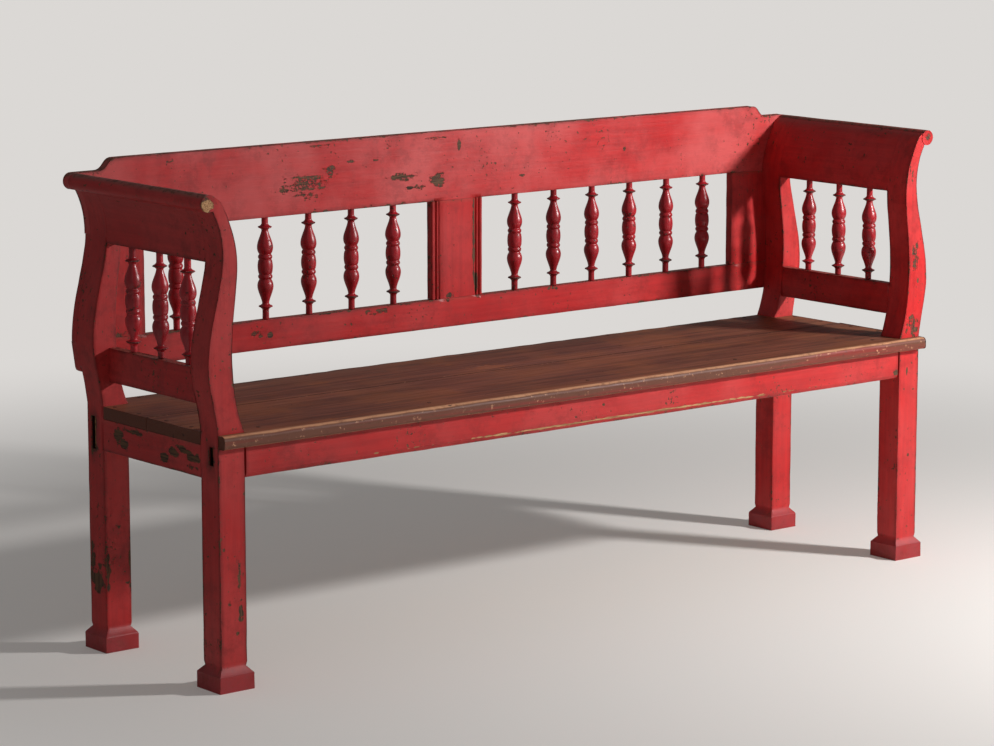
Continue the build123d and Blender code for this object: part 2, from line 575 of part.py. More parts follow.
# ---------------------------------------------------------------- spindles
def flare_point(radius, near, rim):
    """Control point of a collar's concave flank, between a shank and the rim."""
    share = SPINDLE_COLLAR_FLARE
    return (radius + share * (SPINDLE_COLLAR_RADIUS - radius), rim + share * (near - rim))


def make_spindle(name, centre, low, high, lift):
    """A turned spindle between two rails, its turned shape a little off their middle."""
    x, y = centre
    middle = (low + high) / 2 + lift
    half = (high - low) / 2
    bead_low, bead_middle, bead_high = (share * half for share in SPINDLE_BEAD)
    vase_low, vase_middle, vase_waist, vase_high = (share * half for share in SPINDLE_VASE)
    collar_low, collar_middle, collar_high = (share * half for share in SPINDLE_COLLAR)
    ball_end = SPINDLE_BALL_END * half
    ball_end_radius = (SPINDLE_BALL_RADIUS + SPINDLE_GROOVE_RADIUS) / 2
    rim_low = collar_middle - SPINDLE_COLLAR_RIM / 2
    rim_high = collar_middle + SPINDLE_COLLAR_RIM / 2
    with BuildPart() as spindle:
        for direction, reach in ((-1, high - middle), (1, middle - low)):
            with BuildSketch(Plane(origin=(x, y, middle), x_dir=(1, 0, 0), z_dir=(0, direction, 0))):
                with BuildLine():
                    TangentArc((SPINDLE_BALL_RADIUS, 0), (ball_end_radius, ball_end), tangent=(0, 1))
                    Line((ball_end_radius, ball_end), (SPINDLE_GROOVE_RADIUS, bead_low))
                    ThreePointArc(
                        (SPINDLE_GROOVE_RADIUS, bead_low),
                        (SPINDLE_BEAD_RADIUS, bead_middle),
                        (SPINDLE_GROOVE_RADIUS, bead_high),
                    )
                    Line((SPINDLE_GROOVE_RADIUS, bead_high), (SPINDLE_GROOVE_RADIUS, vase_low))
                    Spline(
                        (SPINDLE_GROOVE_RADIUS, vase_low),
                        (SPINDLE_VASE_RADIUS, vase_middle),
                        (SPINDLE_WAIST_RADIUS, vase_waist),
                        (SPINDLE_NECK_RADIUS, vase_high),
                    )
                    Line((SPINDLE_NECK_RADIUS, vase_high), (SPINDLE_NECK_RADIUS, collar_low))
                    Bezier(
                        (SPINDLE_NECK_RADIUS, collar_low),
                        flare_point(SPINDLE_NECK_RADIUS, collar_low, rim_low),
                        (SPINDLE_COLLAR_RADIUS, rim_low),
                    )
                    Line((SPINDLE_COLLAR_RADIUS, rim_low), (SPINDLE_COLLAR_RADIUS, rim_high))
                    Bezier(
                        (SPINDLE_COLLAR_RADIUS, rim_high),
                        flare_point(SPINDLE_SHANK_RADIUS, collar_high, rim_high),
                        (SPINDLE_SHANK_RADIUS, collar_high),
                    )
                    Polyline(
                        (SPINDLE_SHANK_RADIUS, collar_high),
                        (SPINDLE_SHANK_RADIUS, reach),
                        (SPINDLE_TENON_RADIUS, reach),
                        (SPINDLE_TENON_RADIUS, reach + SPINDLE_TENON_LENGTH),
                        (0, reach + SPINDLE_TENON_LENGTH),
                        (0, 0),
                        (SPINDLE_BALL_RADIUS, 0),
                    )
                make_face()
        revolve(axis=Axis((x, y, 0), (0, 0, 1)))
    finish(spindle, name)


# ---------------------------------------------------------------- arms
for side_name, side in SIDES.items():
    spindle_places = [(side * ARM_RAIL_MIDDLE, y) for y in ARM_SPINDLE_YS.values()]
    arm_tenon_reach = (-ARM_TENON_END_Y, ARM_TENON_END_Y)

    # Lower rail of the arm, tenoned into both stiles.
    with BuildPart() as arm_rail:
        block(on_side(side, ARM_RAIL_X), (-POST_INNER_Y, POST_INNER_Y), (ARM_RAIL_LOW, ARM_RAIL_TOP))
        block(on_side(side, ARM_RAIL_TENON_X), arm_tenon_reach, ARM_RAIL_TENON_Z)
        round_holes(spindle_places, ARM_RAIL_TOP - SPINDLE_HOLE_DEPTH, ARM_RAIL_TOP, SPINDLE_HOLE_RADIUS)
    finish(arm_rail, f"{side_name}_arm_rail")

    # Top board, of the same section as the stiles, with a bed for the roll.
    board_section = stile_section(side, ARM_BOARD_LOW)
    with BuildPart() as arm_board:
        with BuildSketch(Plane.XZ.offset(-POST_INNER_Y)):
            add(board_section)
        extrude(amount=2 * POST_INNER_Y)
        block(on_side(side, ARM_BOARD_TENON_X), arm_tenon_reach, ARM_BOARD_TENON_Z)
        round_holes(spindle_places, ARM_BOARD_LOW, ARM_BOARD_LOW + SPINDLE_HOLE_DEPTH, SPINDLE_HOLE_RADIUS)
    finish(arm_board, f"{side_name}_arm_board")

    # Round top edge, from just in front of the front stile to the crest rail.
    with BuildPart() as arm_roll:
        with BuildSketch(Plane.XZ.offset(-HALF_Y)):
            with Locations(roll_centre(side)):
                Circle(ROLL_RADIUS)
        extrude(amount=2 * HALF_Y + ROLL_PROUD)
    finish(arm_roll, f"{side_name}_arm_roll")

    for place, y in ARM_SPINDLE_YS.items():
        spindle_name = f"{side_name}_arm_{place}_spindle"
        centre = (side * ARM_RAIL_MIDDLE, y)
        make_spindle(spindle_name, centre, ARM_RAIL_TOP, ARM_BOARD_LOW, ARM_SPINDLE_LIFT)


# ---------------------------------------------------------------- back
crest_section = back_section(CREST_LOW, ROLL_TOP)
with BuildPart() as crest_rail:
    with BuildSketch(Plane.XZ.offset(-BACK_REAR_Y)):
        add(crest_section)
        with BuildLine():
            # A soft ogee leads from each end of the raised top down to the roll's level.
            for side in SIDES.values():
                bend_x = CREST_TOP_HALF + CREST_COVE_BEND[0] * CREST_COVE_LENGTH
                bend_z = CREST_TOP - CREST_COVE_BEND[1] * (CREST_TOP - ROLL_TOP)
                Spline(
                    (side * CREST_TOP_HALF, CREST_TOP),
                    (side * bend_x, bend_z),
                    (side * COVE_END, ROLL_TOP),
                    tangents=[(side, 0), (side, 0)],
                )
            Line((-CREST_TOP_HALF, CREST_TOP), (CREST_TOP_HALF, CREST_TOP))
            Polyline((-COVE_END, ROLL_TOP), (-COVE_END, CREST_LOW), (COVE_END, CREST_LOW), (COVE_END, ROLL_TOP))
        make_face()
    extrude(amount=BACK_THICKNESS)
    for tenon_x in PANEL_TENONS_X.values():
        block(tenon_x, PANEL_TENON_Y, (CREST_LOW, PANEL_TENON_Z[1]), Mode.SUBTRACT)
    round_holes(BACK_SPINDLE_PLACES, CREST_LOW, CREST_LOW + SPINDLE_HOLE_DEPTH, SPINDLE_HOLE_RADIUS)
    nail_holes(CREST_NAILS, BACK_NAIL_LENGTH)
finish(crest_rail, "crest_rail")

lower_section = back_section(LOWER_BACK_RAIL_LOW, LOWER_BACK_RAIL_TOP)
with BuildPart() as lower_back_rail:
    with BuildSketch(Plane.XZ.offset(-BACK_REAR_Y)):
        add(lower_section)
        lowest = vertices().group_by(Axis.Y)[0].sort_by(Axis.X)
        fillet([lowest[0], lowest[-1]], LOWER_BACK_RAIL_CORNER)
    extrude(amount=BACK_THICKNESS)
    for tenon_x in PANEL_TENONS_X.values():
        block(tenon_x, PANEL_TENON_Y, (PANEL_TENON_Z[0], LOWER_BACK_RAIL_TOP), Mode.SUBTRACT)
    round_holes(
        BACK_SPINDLE_PLACES,
        LOWER_BACK_RAIL_TOP - SPINDLE_HOLE_DEPTH,
        LOWER_BACK_RAIL_TOP,
        SPINDLE_HOLE_RADIUS,
    )
    nail_holes(LOWER_RAIL_NAILS, BACK_NAIL_LENGTH)
finish(lower_back_rail, "lower_back_rail")

make_nails("back_nails", CREST_NAILS + LOWER_RAIL_NAILS, BACK_NAIL_LENGTH)


def cut_beaded_margins(half_width):
    """Two beads and their quirks run down each long edge of the front face."""
    margin = 2 * (MUNTIN_BEAD_RADIUS + MUNTIN_SMALL_BEAD_RADIUS + MUNTIN_QUIRK_WIDTH)
    bead_x = half_width - MUNTIN_BEAD_RADIUS
    small_bead_x = bead_x - MUNTIN_BEAD_RADIUS - MUNTIN_QUIRK_WIDTH - MUNTIN_SMALL_BEAD_RADIUS
    for side in SIDES.values():
        with Locations((side * (half_width - margin / 2), HALF_Y + MUNTIN_QUIRK_DEPTH / 2)):
            Rectangle(margin, MUNTIN_QUIRK_DEPTH, mode=Mode.SUBTRACT)
        with Locations((side * bead_x, HALF_Y + MUNTIN_BEAD_RADIUS)):
            Circle(MUNTIN_BEAD_RADIUS)
        with Locations((side * small_bead_x, HALF_Y + MUNTIN_SMALL_BEAD_RADIUS)):
            Circle(MUNTIN_SMALL_BEAD_RADIUS)


with BuildPart() as center_muntin:
    with BuildSketch(Plane.XY.offset(LOWER_BACK_RAIL_TOP)):
        with Locations((0, HALF_Y + BACK_PANEL_THICKNESS / 2)):
            Rectangle(MUNTIN_WIDTH, BACK_PANEL_THICKNESS)
        cut_beaded_margins(MUNTIN_WIDTH / 2)
    extrude(amount=CREST_LOW - LOWER_BACK_RAIL_TOP)
    block(PANEL_TENONS_X["center"], PANEL_TENON_Y, PANEL_TENON_Z)
finish(center_muntin, "center_muntin")

# The end stiles of the back run out to the curved outer edges of the posts.
between_rails = back_section(LOWER_BACK_RAIL_TOP, CREST_LOW)
for side_name, side in SIDES.items():
    with BuildPart() as stile:
        with BuildSketch(Plane.XZ.offset(-HALF_Y - BACK_PANEL_THICKNESS)):
            add(between_rails)
            with Locations((side * (BACK_STILE_INNER + POST_SPAN_X), ROLL_HEIGHT / 2)):
                Rectangle(2 * POST_SPAN_X, ROLL_HEIGHT, mode=Mode.INTERSECT)
        extrude(amount=BACK_PANEL_THICKNESS)
        block(PANEL_TENONS_X[side_name], PANEL_TENON_Y, PANEL_TENON_Z)
    finish(stile, f"{side_name}_back_stile")

for side_name, side in SIDES.items():
    for number, x in enumerate(BACK_SPINDLE_XS, start=1):
        spindle_name = f"{side_name}_back_spindle_{number}"
        centre = (side * x, BACK_SPINDLE_Y)
        make_spindle(spindle_name, centre, LOWER_BACK_RAIL_TOP, CREST_LOW, BACK_SPINDLE_LIFT)


# ---------------------------------------------------------------- pull-out bed frame
def pivot_bores(radius, low_y, high_y):
    """Round holes for both leg pins, between two depths."""
    planes = [Plane(origin=(x, low_y, BED_MIDDLE), z_dir=(0, -1, 0)) for x in (-LEG_PIVOT_X, LEG_PIVOT_X)]
    with Locations(*planes):
        Hole(radius, high_y - low_y)


def cross_tenon_y(cross_y):
    """Depths between which a cross rail's tenons lie."""
    return (cross_y[0] + BED_TENON_SHOULDER, cross_y[1] - BED_TENON_SHOULDER)


def cross_rail(cross_y, slat_rest_y):
    """A cross rail with tenons at both ends and rests for the slats."""
    block((-BED_BEARER_INNER_X, BED_BEARER_INNER_X), cross_y, (BED_LOW, BED_TOP))
    block((-BED_TENON_END_X, BED_TENON_END_X), cross_tenon_y(cross_y), BED_TENON_Z)
    for side in SIDES.values():
        rest_x = on_side(side, (BED_MIDDLE_WIDTH / 2, BED_BEARER_INNER_X))
        block(rest_x, slat_rest_y, SLAT_Z, Mode.SUBTRACT)


with BuildPart() as bed_front_rail:
    block(
        (-APRON_HALF, APRON_HALF),
        (-HALF_Y, APRON_BACK_Y),
        (RAIL_LOW + APRON_LIFT, RAIL_TOP - APRON_TOP_GAP),
    )
    front_edges = edges().filter_by(Axis.X).group_by(Axis.Y)[0].sort_by(Axis.Z)
    fillet(front_edges[-1], APRON_EDGE_RADIUS)
    front_face = faces().sort_by(Axis.Y)[0]
    lower_front_edge = front_face.edges().sort_by(Axis.Z)[0]
    chamfer(lower_front_edge, APRON_CHAMFER[1], APRON_CHAMFER[0], reference=front_face)
    pivot_bores(PIN_RADIUS + PIN_SEAT_CLEARANCE, PIN_Y[0], APRON_BACK_Y)
finish(bed_front_rail, "bed_front_rail")

with BuildPart() as bed_front_cross_rail:
    cross_rail(FRONT_CROSS_Y, (SLAT_Y[0], FRONT_CROSS_Y[1]))
    pivot_bores(PIN_RADIUS + PIN_SEAT_CLEARANCE, FRONT_CROSS_Y[0], PIN_Y[1])
    # The upper half of the lap joint with the middle bearer is cut away.
    block((-BED_MIDDLE_WIDTH / 2, BED_MIDDLE_WIDTH / 2), FRONT_CROSS_Y, (BED_MIDDLE, BED_TOP), Mode.SUBTRACT)
finish(bed_front_cross_rail, "bed_front_cross_rail")

with BuildPart() as bed_rear_cross_rail:
    cross_rail(REAR_CROSS_Y, (REAR_CROSS_Y[0], SLAT_Y[1]))
finish(bed_rear_cross_rail, "bed_rear_cross_rail")

with BuildPart() as bed_middle_bearer:
    block(
        (-BED_MIDDLE_WIDTH / 2, BED_MIDDLE_WIDTH / 2),
        (APRON_BACK_Y, REAR_CROSS_Y[0]),
        (BED_LOW, BED_TOP),
    )
    block((-BED_MIDDLE_WIDTH / 2, BED_MIDDLE_WIDTH / 2), FRONT_CROSS_Y, (BED_LOW, BED_MIDDLE), Mode.SUBTRACT)
finish(bed_middle_bearer, "bed_middle_bearer")

for side_name, side in SIDES.items():
    # End bearer, grooved along its outer face for the runner's tongue.
    with BuildPart() as end_bearer:
        bearer_y = (APRON_BACK_Y, BED_REAR_Y)
        block(on_side(side, (BED_BEARER_INNER_X, BED_BEARER_OUTER_X)), bearer_y, (BED_LOW, BED_TOP))
        block(on_side(side, (GROOVE_FLOOR_X, BED_BEARER_OUTER_X)), bearer_y, GROOVE_Z, Mode.SUBTRACT)
        for cross_y in (FRONT_CROSS_Y, REAR_CROSS_Y):
            mortise_x = on_side(side, (BED_BEARER_INNER_X, BED_TENON_END_X))
            block(mortise_x, cross_tenon_y(cross_y), BED_TENON_Z, Mode.SUBTRACT)
    finish(end_bearer, f"{side_name}_bed_bearer")

    # Slats on this side of the middle bearer.
    with BuildPart() as slats:
        for number in range(BED_SLATS_PER_SIDE):
            slat_x = SLAT_FIRST_X + number * SLAT_PITCH
            block(on_side(side, (slat_x, slat_x + BED_SLAT_WIDTH)), SLAT_Y, SLAT_Z)
    finish(slats, f"{side_name}_bed_slats")

    # Block on the bearer that meets the front tie rail when the bed is out.
    with BuildPart() as stop:
        block(
            on_side(side, (BED_BEARER_INNER_X, BED_BEARER_OUTER_X)),
            (STOP_FRONT_Y, STOP_FRONT_Y + STOP_LENGTH),
            (BED_TOP, BED_TOP + STOP_HEIGHT),
        )
    finish(stop, f"{side_name}_stop_block")

    # Support leg, folded level behind the apron, its foot towards the middle.
    pivot = (side * LEG_PIVOT_X, BED_MIDDLE)
    with BuildPart() as support_leg:
        with BuildSketch(Plane.XZ.offset(LEG_SIDE_GAP - LEG_SLOT_BACK_Y)):
            with Locations((side * (LEG_PIVOT_X - LEG_LENGTH / 2), BED_MIDDLE)):
                Rectangle(LEG_LENGTH, LEG_WIDTH)
            foot_corners = vertices().group_by(Axis.X)[0 if side > 0 else -1]
            fillet(foot_corners, LEG_FOOT_RADIUS)
            with Locations(pivot):
                Circle(LEG_WIDTH / 2)
                Circle(PIN_RADIUS + PIN_RUNNING_CLEARANCE, mode=Mode.SUBTRACT)
        extrude(amount=LEG_THICKNESS)
    finish(support_leg, f"{side_name}_support_leg")

    # Pin of that leg, held in the apron and the front cross rail.
    with BuildPart() as leg_pin:
        with BuildSketch(Plane.XZ.offset(-PIN_Y[1])):
            with Locations(pivot):
                Circle(PIN_RADIUS)
        extrude(amount=PIN_Y[1] - PIN_Y[0])
    finish(leg_pin, f"{side_name}_leg_pin")
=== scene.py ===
# %% [markdown]
# A red pull-out bench bed, dressed around its construction model. The construction
# gives every piece its place and size; this file gives each a mesh with worn, slightly
# uneven edges and a finish of old paint. It works in metres: +X runs along the bench,
# -Y is the front and +Z is up.

# %% Load the construction
import math
from functools import partial

import bmesh
import bpy
import numpy as np
from mathutils import Matrix, Vector, noise


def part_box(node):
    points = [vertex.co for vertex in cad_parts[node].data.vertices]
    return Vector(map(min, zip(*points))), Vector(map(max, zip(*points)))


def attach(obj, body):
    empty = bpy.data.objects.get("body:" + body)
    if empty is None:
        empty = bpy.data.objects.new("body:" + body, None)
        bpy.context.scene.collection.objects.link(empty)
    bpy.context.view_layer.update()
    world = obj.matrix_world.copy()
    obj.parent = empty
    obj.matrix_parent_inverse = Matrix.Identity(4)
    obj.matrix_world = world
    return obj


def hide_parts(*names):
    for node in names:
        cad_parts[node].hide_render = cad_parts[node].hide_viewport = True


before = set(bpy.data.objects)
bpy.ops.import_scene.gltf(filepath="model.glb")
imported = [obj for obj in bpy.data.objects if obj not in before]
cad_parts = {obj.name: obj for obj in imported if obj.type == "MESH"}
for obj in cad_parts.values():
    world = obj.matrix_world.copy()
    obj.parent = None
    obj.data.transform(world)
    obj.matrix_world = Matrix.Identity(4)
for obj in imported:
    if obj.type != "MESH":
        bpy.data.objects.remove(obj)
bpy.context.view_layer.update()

# %% [markdown]
# The camera looks at the front left corner of the bench through a long lens, so the
# edges that run away from it hardly converge. Its place and angles are given here.

# %% Camera
CAMERA_PLACE = (-4.232, -5.149, 1.602)
CAMERA_PITCH = 80.225  # degrees up from looking straight down
CAMERA_TURN = -38.93
CAMERA_LENS = 125.02  # mm, on a 36 mm sensor

camera = bpy.data.objects.new("camera", bpy.data.cameras.new("camera"))
camera.location = CAMERA_PLACE
camera.rotation_euler = (math.radians(CAMERA_PITCH), 0, math.radians(CAMERA_TURN))
camera.data.lens = CAMERA_LENS
camera.data.sensor_width = 36
bpy.context.scene.collection.objects.link(camera)
bpy.context.scene.camera = camera
print("camera at", CAMERA_PLACE)

# %% [markdown]
# A material is a net of nodes. Small helpers keep that net readable: one fills sockets,
# from a value or from another node's output, one adds a node, and one starts a node
# group, which is a net of its own with named inputs and outputs. A socket knows which
# net it is in, so the helpers for sums and masks needn't be told.

# %% Helpers for nodes
def give(sockets, values):
    """Gives each socket a value, or a link from another node's output."""
    for name, value in values.items():
        if isinstance(value, bpy.types.NodeSocket):
            value.id_data.links.new(value, sockets[name])
        else:
            sockets[name].default_value = value


def put(tree, kind, sockets={}, **settings):
    """Adds a node and fills its sockets."""
    made = tree.nodes.new("ShaderNode" + kind)
    for setting, value in settings.items():
        setattr(made, setting, value)
    give(made.inputs, sockets)
    return made


def net_of(*values):
    """The net that the first socket among some values belongs to."""
    return next(value.id_data for value in values if isinstance(value, bpy.types.NodeSocket))


def math_node(operation, first, second=0.0):
    """The result of one sum, product or comparison."""
    return put(net_of(first, second), "Math", {0: first, 1: second}, operation=operation).outputs[0]


plus, minus, times = (partial(math_node, kind) for kind in ("ADD", "SUBTRACT", "MULTIPLY"))


def greatest(masks):
    """The strongest of several masks at each point."""
    result = masks[0]
    for other in masks[1:]:
        result = math_node("MAXIMUM", result, other)
    return result


def place_in(tree):
    """Where a point of the surface is, in metres."""
    return put(tree, "TexCoord").outputs["Object"]


def parts_of(place):
    """The X, Y and Z of a place."""
    return put(net_of(place), "SeparateXYZ", {0: place}).outputs


def shifted(operation, place, other):
    """A place plus, minus, times or divided by another vector."""
    return put(net_of(place), "VectorMath", {0: place, 1: other}, operation=operation).outputs[0]


def length_of(place):
    return put(net_of(place), "VectorMath", {0: place}, operation="LENGTH").outputs["Value"]


def noise_at(place, scale, detail=3.0, roughness=0.6):
    """Noise from 0 to 1 at a place."""
    sockets = {"Vector": place, "Scale": scale, "Detail": detail, "Roughness": roughness}
    return put(net_of(place), "TexNoise", sockets).outputs["Fac"]


def ramp(value, low, high, out_low=0.0, out_high=1.0):
    """A soft step from out_low to out_high, between two levels of a value."""
    sockets = {"Value": value, 1: low, 2: high, 3: out_low, 4: out_high}
    return put(net_of(value), "MapRange", sockets, interpolation_type="SMOOTHSTEP").outputs[0]


def mix(share, first, second):
    """A colour between two others."""
    sockets = {0: share, 6: first, 7: second}
    return put(net_of(share), "Mix", sockets, data_type="RGBA", clamp_factor=True).outputs[2]


def layered(base, *layers):
    """A colour with others laid over it in turn, each given as (share, colour)."""
    for share, over in layers:
        base = mix(share, base, over)
    return base


print("helpers for single nodes ready")

# %% Node groups and colours
def new_group(name, inputs, outputs):
    """A node group whose inputs have the values given, and whose outputs are numbers."""
    tree = bpy.data.node_groups.new(name, "ShaderNodeTree")
    for socket, value in inputs.items():
        kind = "NodeSocketVector" if isinstance(value, tuple) else "NodeSocketFloat"
        tree.interface.new_socket(socket, in_out="INPUT", socket_type=kind).default_value = value
    for socket in outputs:
        tree.interface.new_socket(socket, in_out="OUTPUT", socket_type="NodeSocketFloat")
    return tree, tree.nodes.new("NodeGroupInput").outputs, tree.nodes.new("NodeGroupOutput").inputs


def use(tree, group, **values):
    """Places a node group in a material, with its own values."""
    made = tree.nodes.new("ShaderNodeGroup")
    made.node_tree = group
    give(made.inputs, values)
    return made.outputs


def colour(*screen):
    """A colour as the screen shows it, from 0 to 255, made linear for the nodes."""
    shares = [level / 255 for level in screen]
    linear = [s / 12.92 if s <= 0.04045 else ((s + 0.055) / 1.055) ** 2.4 for s in shares]
    return (*linear, 1.0)


print("helpers for groups ready")

# %% [markdown]
# Grain is noise that is stretched along the board. Two sizes of it are enough: long
# streaks, as a brush or a plane leaves them, and fine fibres across them. A third,
# broad noise isn't stretched, and shifts whole areas lighter or darker.

# %% Grain
GRAIN_ALONG = {
    "x": (5.0, 110.0, 110.0),
    "y": (110.0, 5.0, 110.0),
    "z": (110.0, 110.0, 5.0),
}

grain, given, result = new_group(
    "grain", {"Stretch": GRAIN_ALONG["x"]}, ["Streaks", "Fibres", "Broad"]
)
place = place_in(grain)
stretched = shifted("MULTIPLY", place, given["Stretch"])
give(result, {"Streaks": noise_at(stretched, 1.0, 5.0), "Fibres": noise_at(stretched, 6.0)})
give(result, {"Broad": noise_at(place, 5.0, 4.0)})
print("grain directions:", sorted(GRAIN_ALONG))

# %% [markdown]
# Paint goes first where hands and clothes rub: along the edges. Every wooden mesh
# below carries a value named edge, 1 on its arrises and 0 a few millimetres away,
# and this group makes a ragged border of it with noise.

# %% Worn edges
edge_wear, given, result = new_group(
    "edge_wear", {"Amount": 0.5, "Top": 0.6, "Scale": 75.0}, ["Mask", "Bare", "Stain", "Grime"]
)
near_edge = put(edge_wear, "Attribute", attribute_name="edge").outputs["Fac"]
on_top = put(edge_wear, "Attribute", attribute_name="top").outputs["Fac"]
place = place_in(edge_wear)
slow = noise_at(place, 7.0)
ragged = ramp(noise_at(place, given["Scale"], 6.0, 0.7), 0.30, 0.70)
chance = times(near_edge, near_edge)
chance = times(chance, ramp(slow, 0.36, 0.66, 0.2, 1.5))
chance = times(chance, given["Amount"])
top_chance = times(on_top, ramp(slow, 0.25, 0.60, 0.5, 1.2))
top_chance = times(top_chance, given["Top"])
level = minus(greatest([chance, times(top_chance, 0.55)]), ragged)
bare = minus(times(level, near_edge), 0.5)
grime = times(near_edge, ramp(slow, 0.30, 0.62, 0.25, 1.0))
give(result, {"Mask": ramp(level, 0.0, 0.08), "Bare": ramp(bare, 0.0, 0.15)})
give(result, {"Stain": times(top_chance, 0.9), "Grime": grime})
print("worn edges ready")

# %% [markdown]
# Some wear has a place of its own, where a back leaned or a boot scraped. A patch is
# a soft ellipse round a point, broken up by noise that follows the grain.

# %% Worn patches, chips, mottle and dust
patch_inputs = {"Centre": (0.0, 0.0, 0.0), "Size": (0.05, 0.05, 0.05)}
patch_inputs.update({"Stretch": GRAIN_ALONG["x"], "Cover": 0.5})
worn_patch, given, result = new_group("worn_patch", patch_inputs, ["Mask"])
place = place_in(worn_patch)
away = length_of(shifted("DIVIDE", shifted("SUBTRACT", place, given["Centre"]), given["Size"]))
ragged = minus(noise_at(place, 60.0, 4.0, 0.65), 0.5)
away = plus(away, times(ragged, 2.6))
streaks = times(noise_at(shifted("MULTIPLY", place, given["Stretch"]), 2.0, 5.0, 0.7), 1.2)
crumbs = times(noise_at(place, 240.0, 4.0, 0.7), 1.6)
broken = minus(plus(streaks, crumbs), 2.3)
level = plus(ramp(away, 1.4, 0.1), broken)
level = plus(level, given["Cover"])
give(result, {"Mask": times(ramp(level, 0.0, 0.06), ramp(away, 1.4, 1.2))})

chips, given, result = new_group("chips", {"Scale": 130.0, "Amount": 0.3}, ["Mask"])
place = place_in(chips)
level = times(noise_at(place, 11.0), 0.45)
level = plus(level, noise_at(place, given["Scale"]))
level = plus(level, times(given["Amount"], 0.2))
give(result, {"Mask": ramp(level, 0.990, 1.010)})

mottle, given, result = new_group("mottle", {"Scale": 30.0}, ["Mask"])
place = place_in(mottle)
fine = ramp(noise_at(place, given["Scale"], 8.0, 0.72), 0.44, 0.66)
wide = ramp(noise_at(place, 4.5, 2.0), 0.36, 0.62, 0.25, 1.0)
give(result, {"Mask": times(fine, wide)})

floor_dust, given, result = new_group("floor_dust", {"Height": 0.05}, ["Mask", "Low"])
place = place_in(floor_dust)
low_down = ramp(math_node("DIVIDE", parts_of(place)["Z"], given["Height"]), 1.0, 0.6)
patchy = ramp(noise_at(place, 30.0, 4.0), 0.30, 0.62, 0.25, 0.85)
give(result, {"Mask": times(low_down, patchy), "Low": low_down})
print("patches, chips, mottle and dust ready")

# %% [markdown]
# Old oil paint is not one red. It is deeper in the streaks, chalky where it weathered,
# and darker at the left end: partly dirt, partly painted shade for the light that falls
# off away from the lamp. Where it is gone a brown ground shows, or bare wood at
# the very arris. The worn places are a little lower than the paint and less glossy.

# %% Red paint
RED = colour(204, 36, 36)
DEEP_RED = colour(172, 24, 28)
CHALKY_RED = colour(212, 88, 86)
GRIME_AND_SHADE_RED = colour(104, 24, 22)
STAINED_RED = colour(138, 78, 64)
DUSTY_RED = colour(160, 56, 60)
GROUND = colour(102, 72, 48)
DARK_GROUND = colour(56, 36, 28)
BARE_WOOD = colour(204, 158, 110)
DARK_WOOD = colour(146, 100, 64)
SLOT_SHADE = colour(20, 10, 9)
LEFT_DIRT_AND_SHADE = 0.28  # how much darker the left end is: dirt, and painted shade for light falling off


def new_material(name):
    """An empty material with its shader."""
    made = bpy.data.materials.new(name)
    made.use_nodes = True
    tree = made.node_tree
    tree.nodes.clear()
    shader = tree.nodes.new("ShaderNodeBsdfPrincipled")
    output = tree.nodes.new("ShaderNodeOutputMaterial")
    give(output.inputs, {0: shader.outputs[0]})
    return made, tree, shader


def bump(tree, shader, height, depth):
    """Raises and lowers the surface by a value; depth in metres."""
    made = put(tree, "Bump", {"Strength": 1.0, "Distance": depth, "Height": height})
    give(shader.inputs, {"Normal": made.outputs[0]})


def patch_masks(tree, places, stretch):
    """One mask for each worn place, given as (centre, size, cover)."""
    made = [use(tree, worn_patch, Centre=c, Size=s, Stretch=stretch, Cover=v) for c, s, v in places]
    return [outputs["Mask"] for outputs in made]


def red_paint(name, along, worn_at=(), bare_at=(), edges=0.5, tops=0.6, chalk=0.35, chipped=0.45):
    """Worn red paint with its streaks along one axis."""
    made, tree, shader = new_material(name)
    stretch = GRAIN_ALONG[along]
    board = use(tree, grain, Stretch=stretch)
    rubbed = use(tree, edge_wear, Amount=edges, Top=tops)
    bare = greatest([rubbed["Bare"], *patch_masks(tree, bare_at, stretch)])
    worn = [bare, rubbed["Mask"], use(tree, chips, Amount=chipped)["Mask"]]
    worn = greatest(worn + patch_masks(tree, worn_at, stretch))
    dust = use(tree, floor_dust)
    worn = times(worn, minus(1.0, times(dust["Low"], 0.85)))

    weathered = times(ramp(board["Broad"], 0.32, 0.70), chalk)
    weathered = plus(weathered, times(ramp(board["Fibres"], 0.50, 0.80), chalk * 0.3))
    darkening = times(use(tree, mottle)["Mask"], 0.34)
    darkening = plus(darkening, times(rubbed["Grime"], 0.55))
    # Darker towards the left end: partly dirt, partly painted shade for the light falling off away from the
    # lamp.
    darkening = plus(darkening, ramp(parts_of(place_in(tree))["X"], 0.3, -0.9, 0.0, LEFT_DIRT_AND_SHADE))
    paint = mix(ramp(board["Streaks"], 0.30, 0.70, 0.35, 1.0), DEEP_RED, RED)
    paint = layered(paint, (weathered, CHALKY_RED), (darkening, GRIME_AND_SHADE_RED))
    paint = layered(paint, (rubbed["Stain"], STAINED_RED), (dust["Mask"], DUSTY_RED))
    wood = mix(ramp(board["Fibres"], 0.40, 0.62), DARK_WOOD, BARE_WOOD)
    ground = mix(ramp(board["Fibres"], 0.38, 0.60), DARK_GROUND, GROUND)
    ground = layered(ground, (rubbed["Stain"], STAINED_RED), (bare, wood))
    # Painted shade: the walls and bottoms of the tenon slots, marked by the value named deep, go near
    # black.
    deep = put(tree, "Attribute", attribute_name="deep").outputs["Fac"]
    surface = layered(paint, (worn, ground), (ramp(deep, 0.05, 0.45), SLOT_SHADE))
    gloss = ramp(board["Broad"], 0.2, 0.8, 0.36, 0.50)
    give(shader.inputs, {"Base Color": surface, "Roughness": plus(gloss, times(worn, 0.25))})
    height = minus(times(board["Fibres"], 0.35), worn)
    bump(tree, shader, plus(height, times(board["Streaks"], 0.5)), 0.0005)
    give(shader.inputs, {"Specular IOR Level": 0.3})
    return made


print("red paint ready")

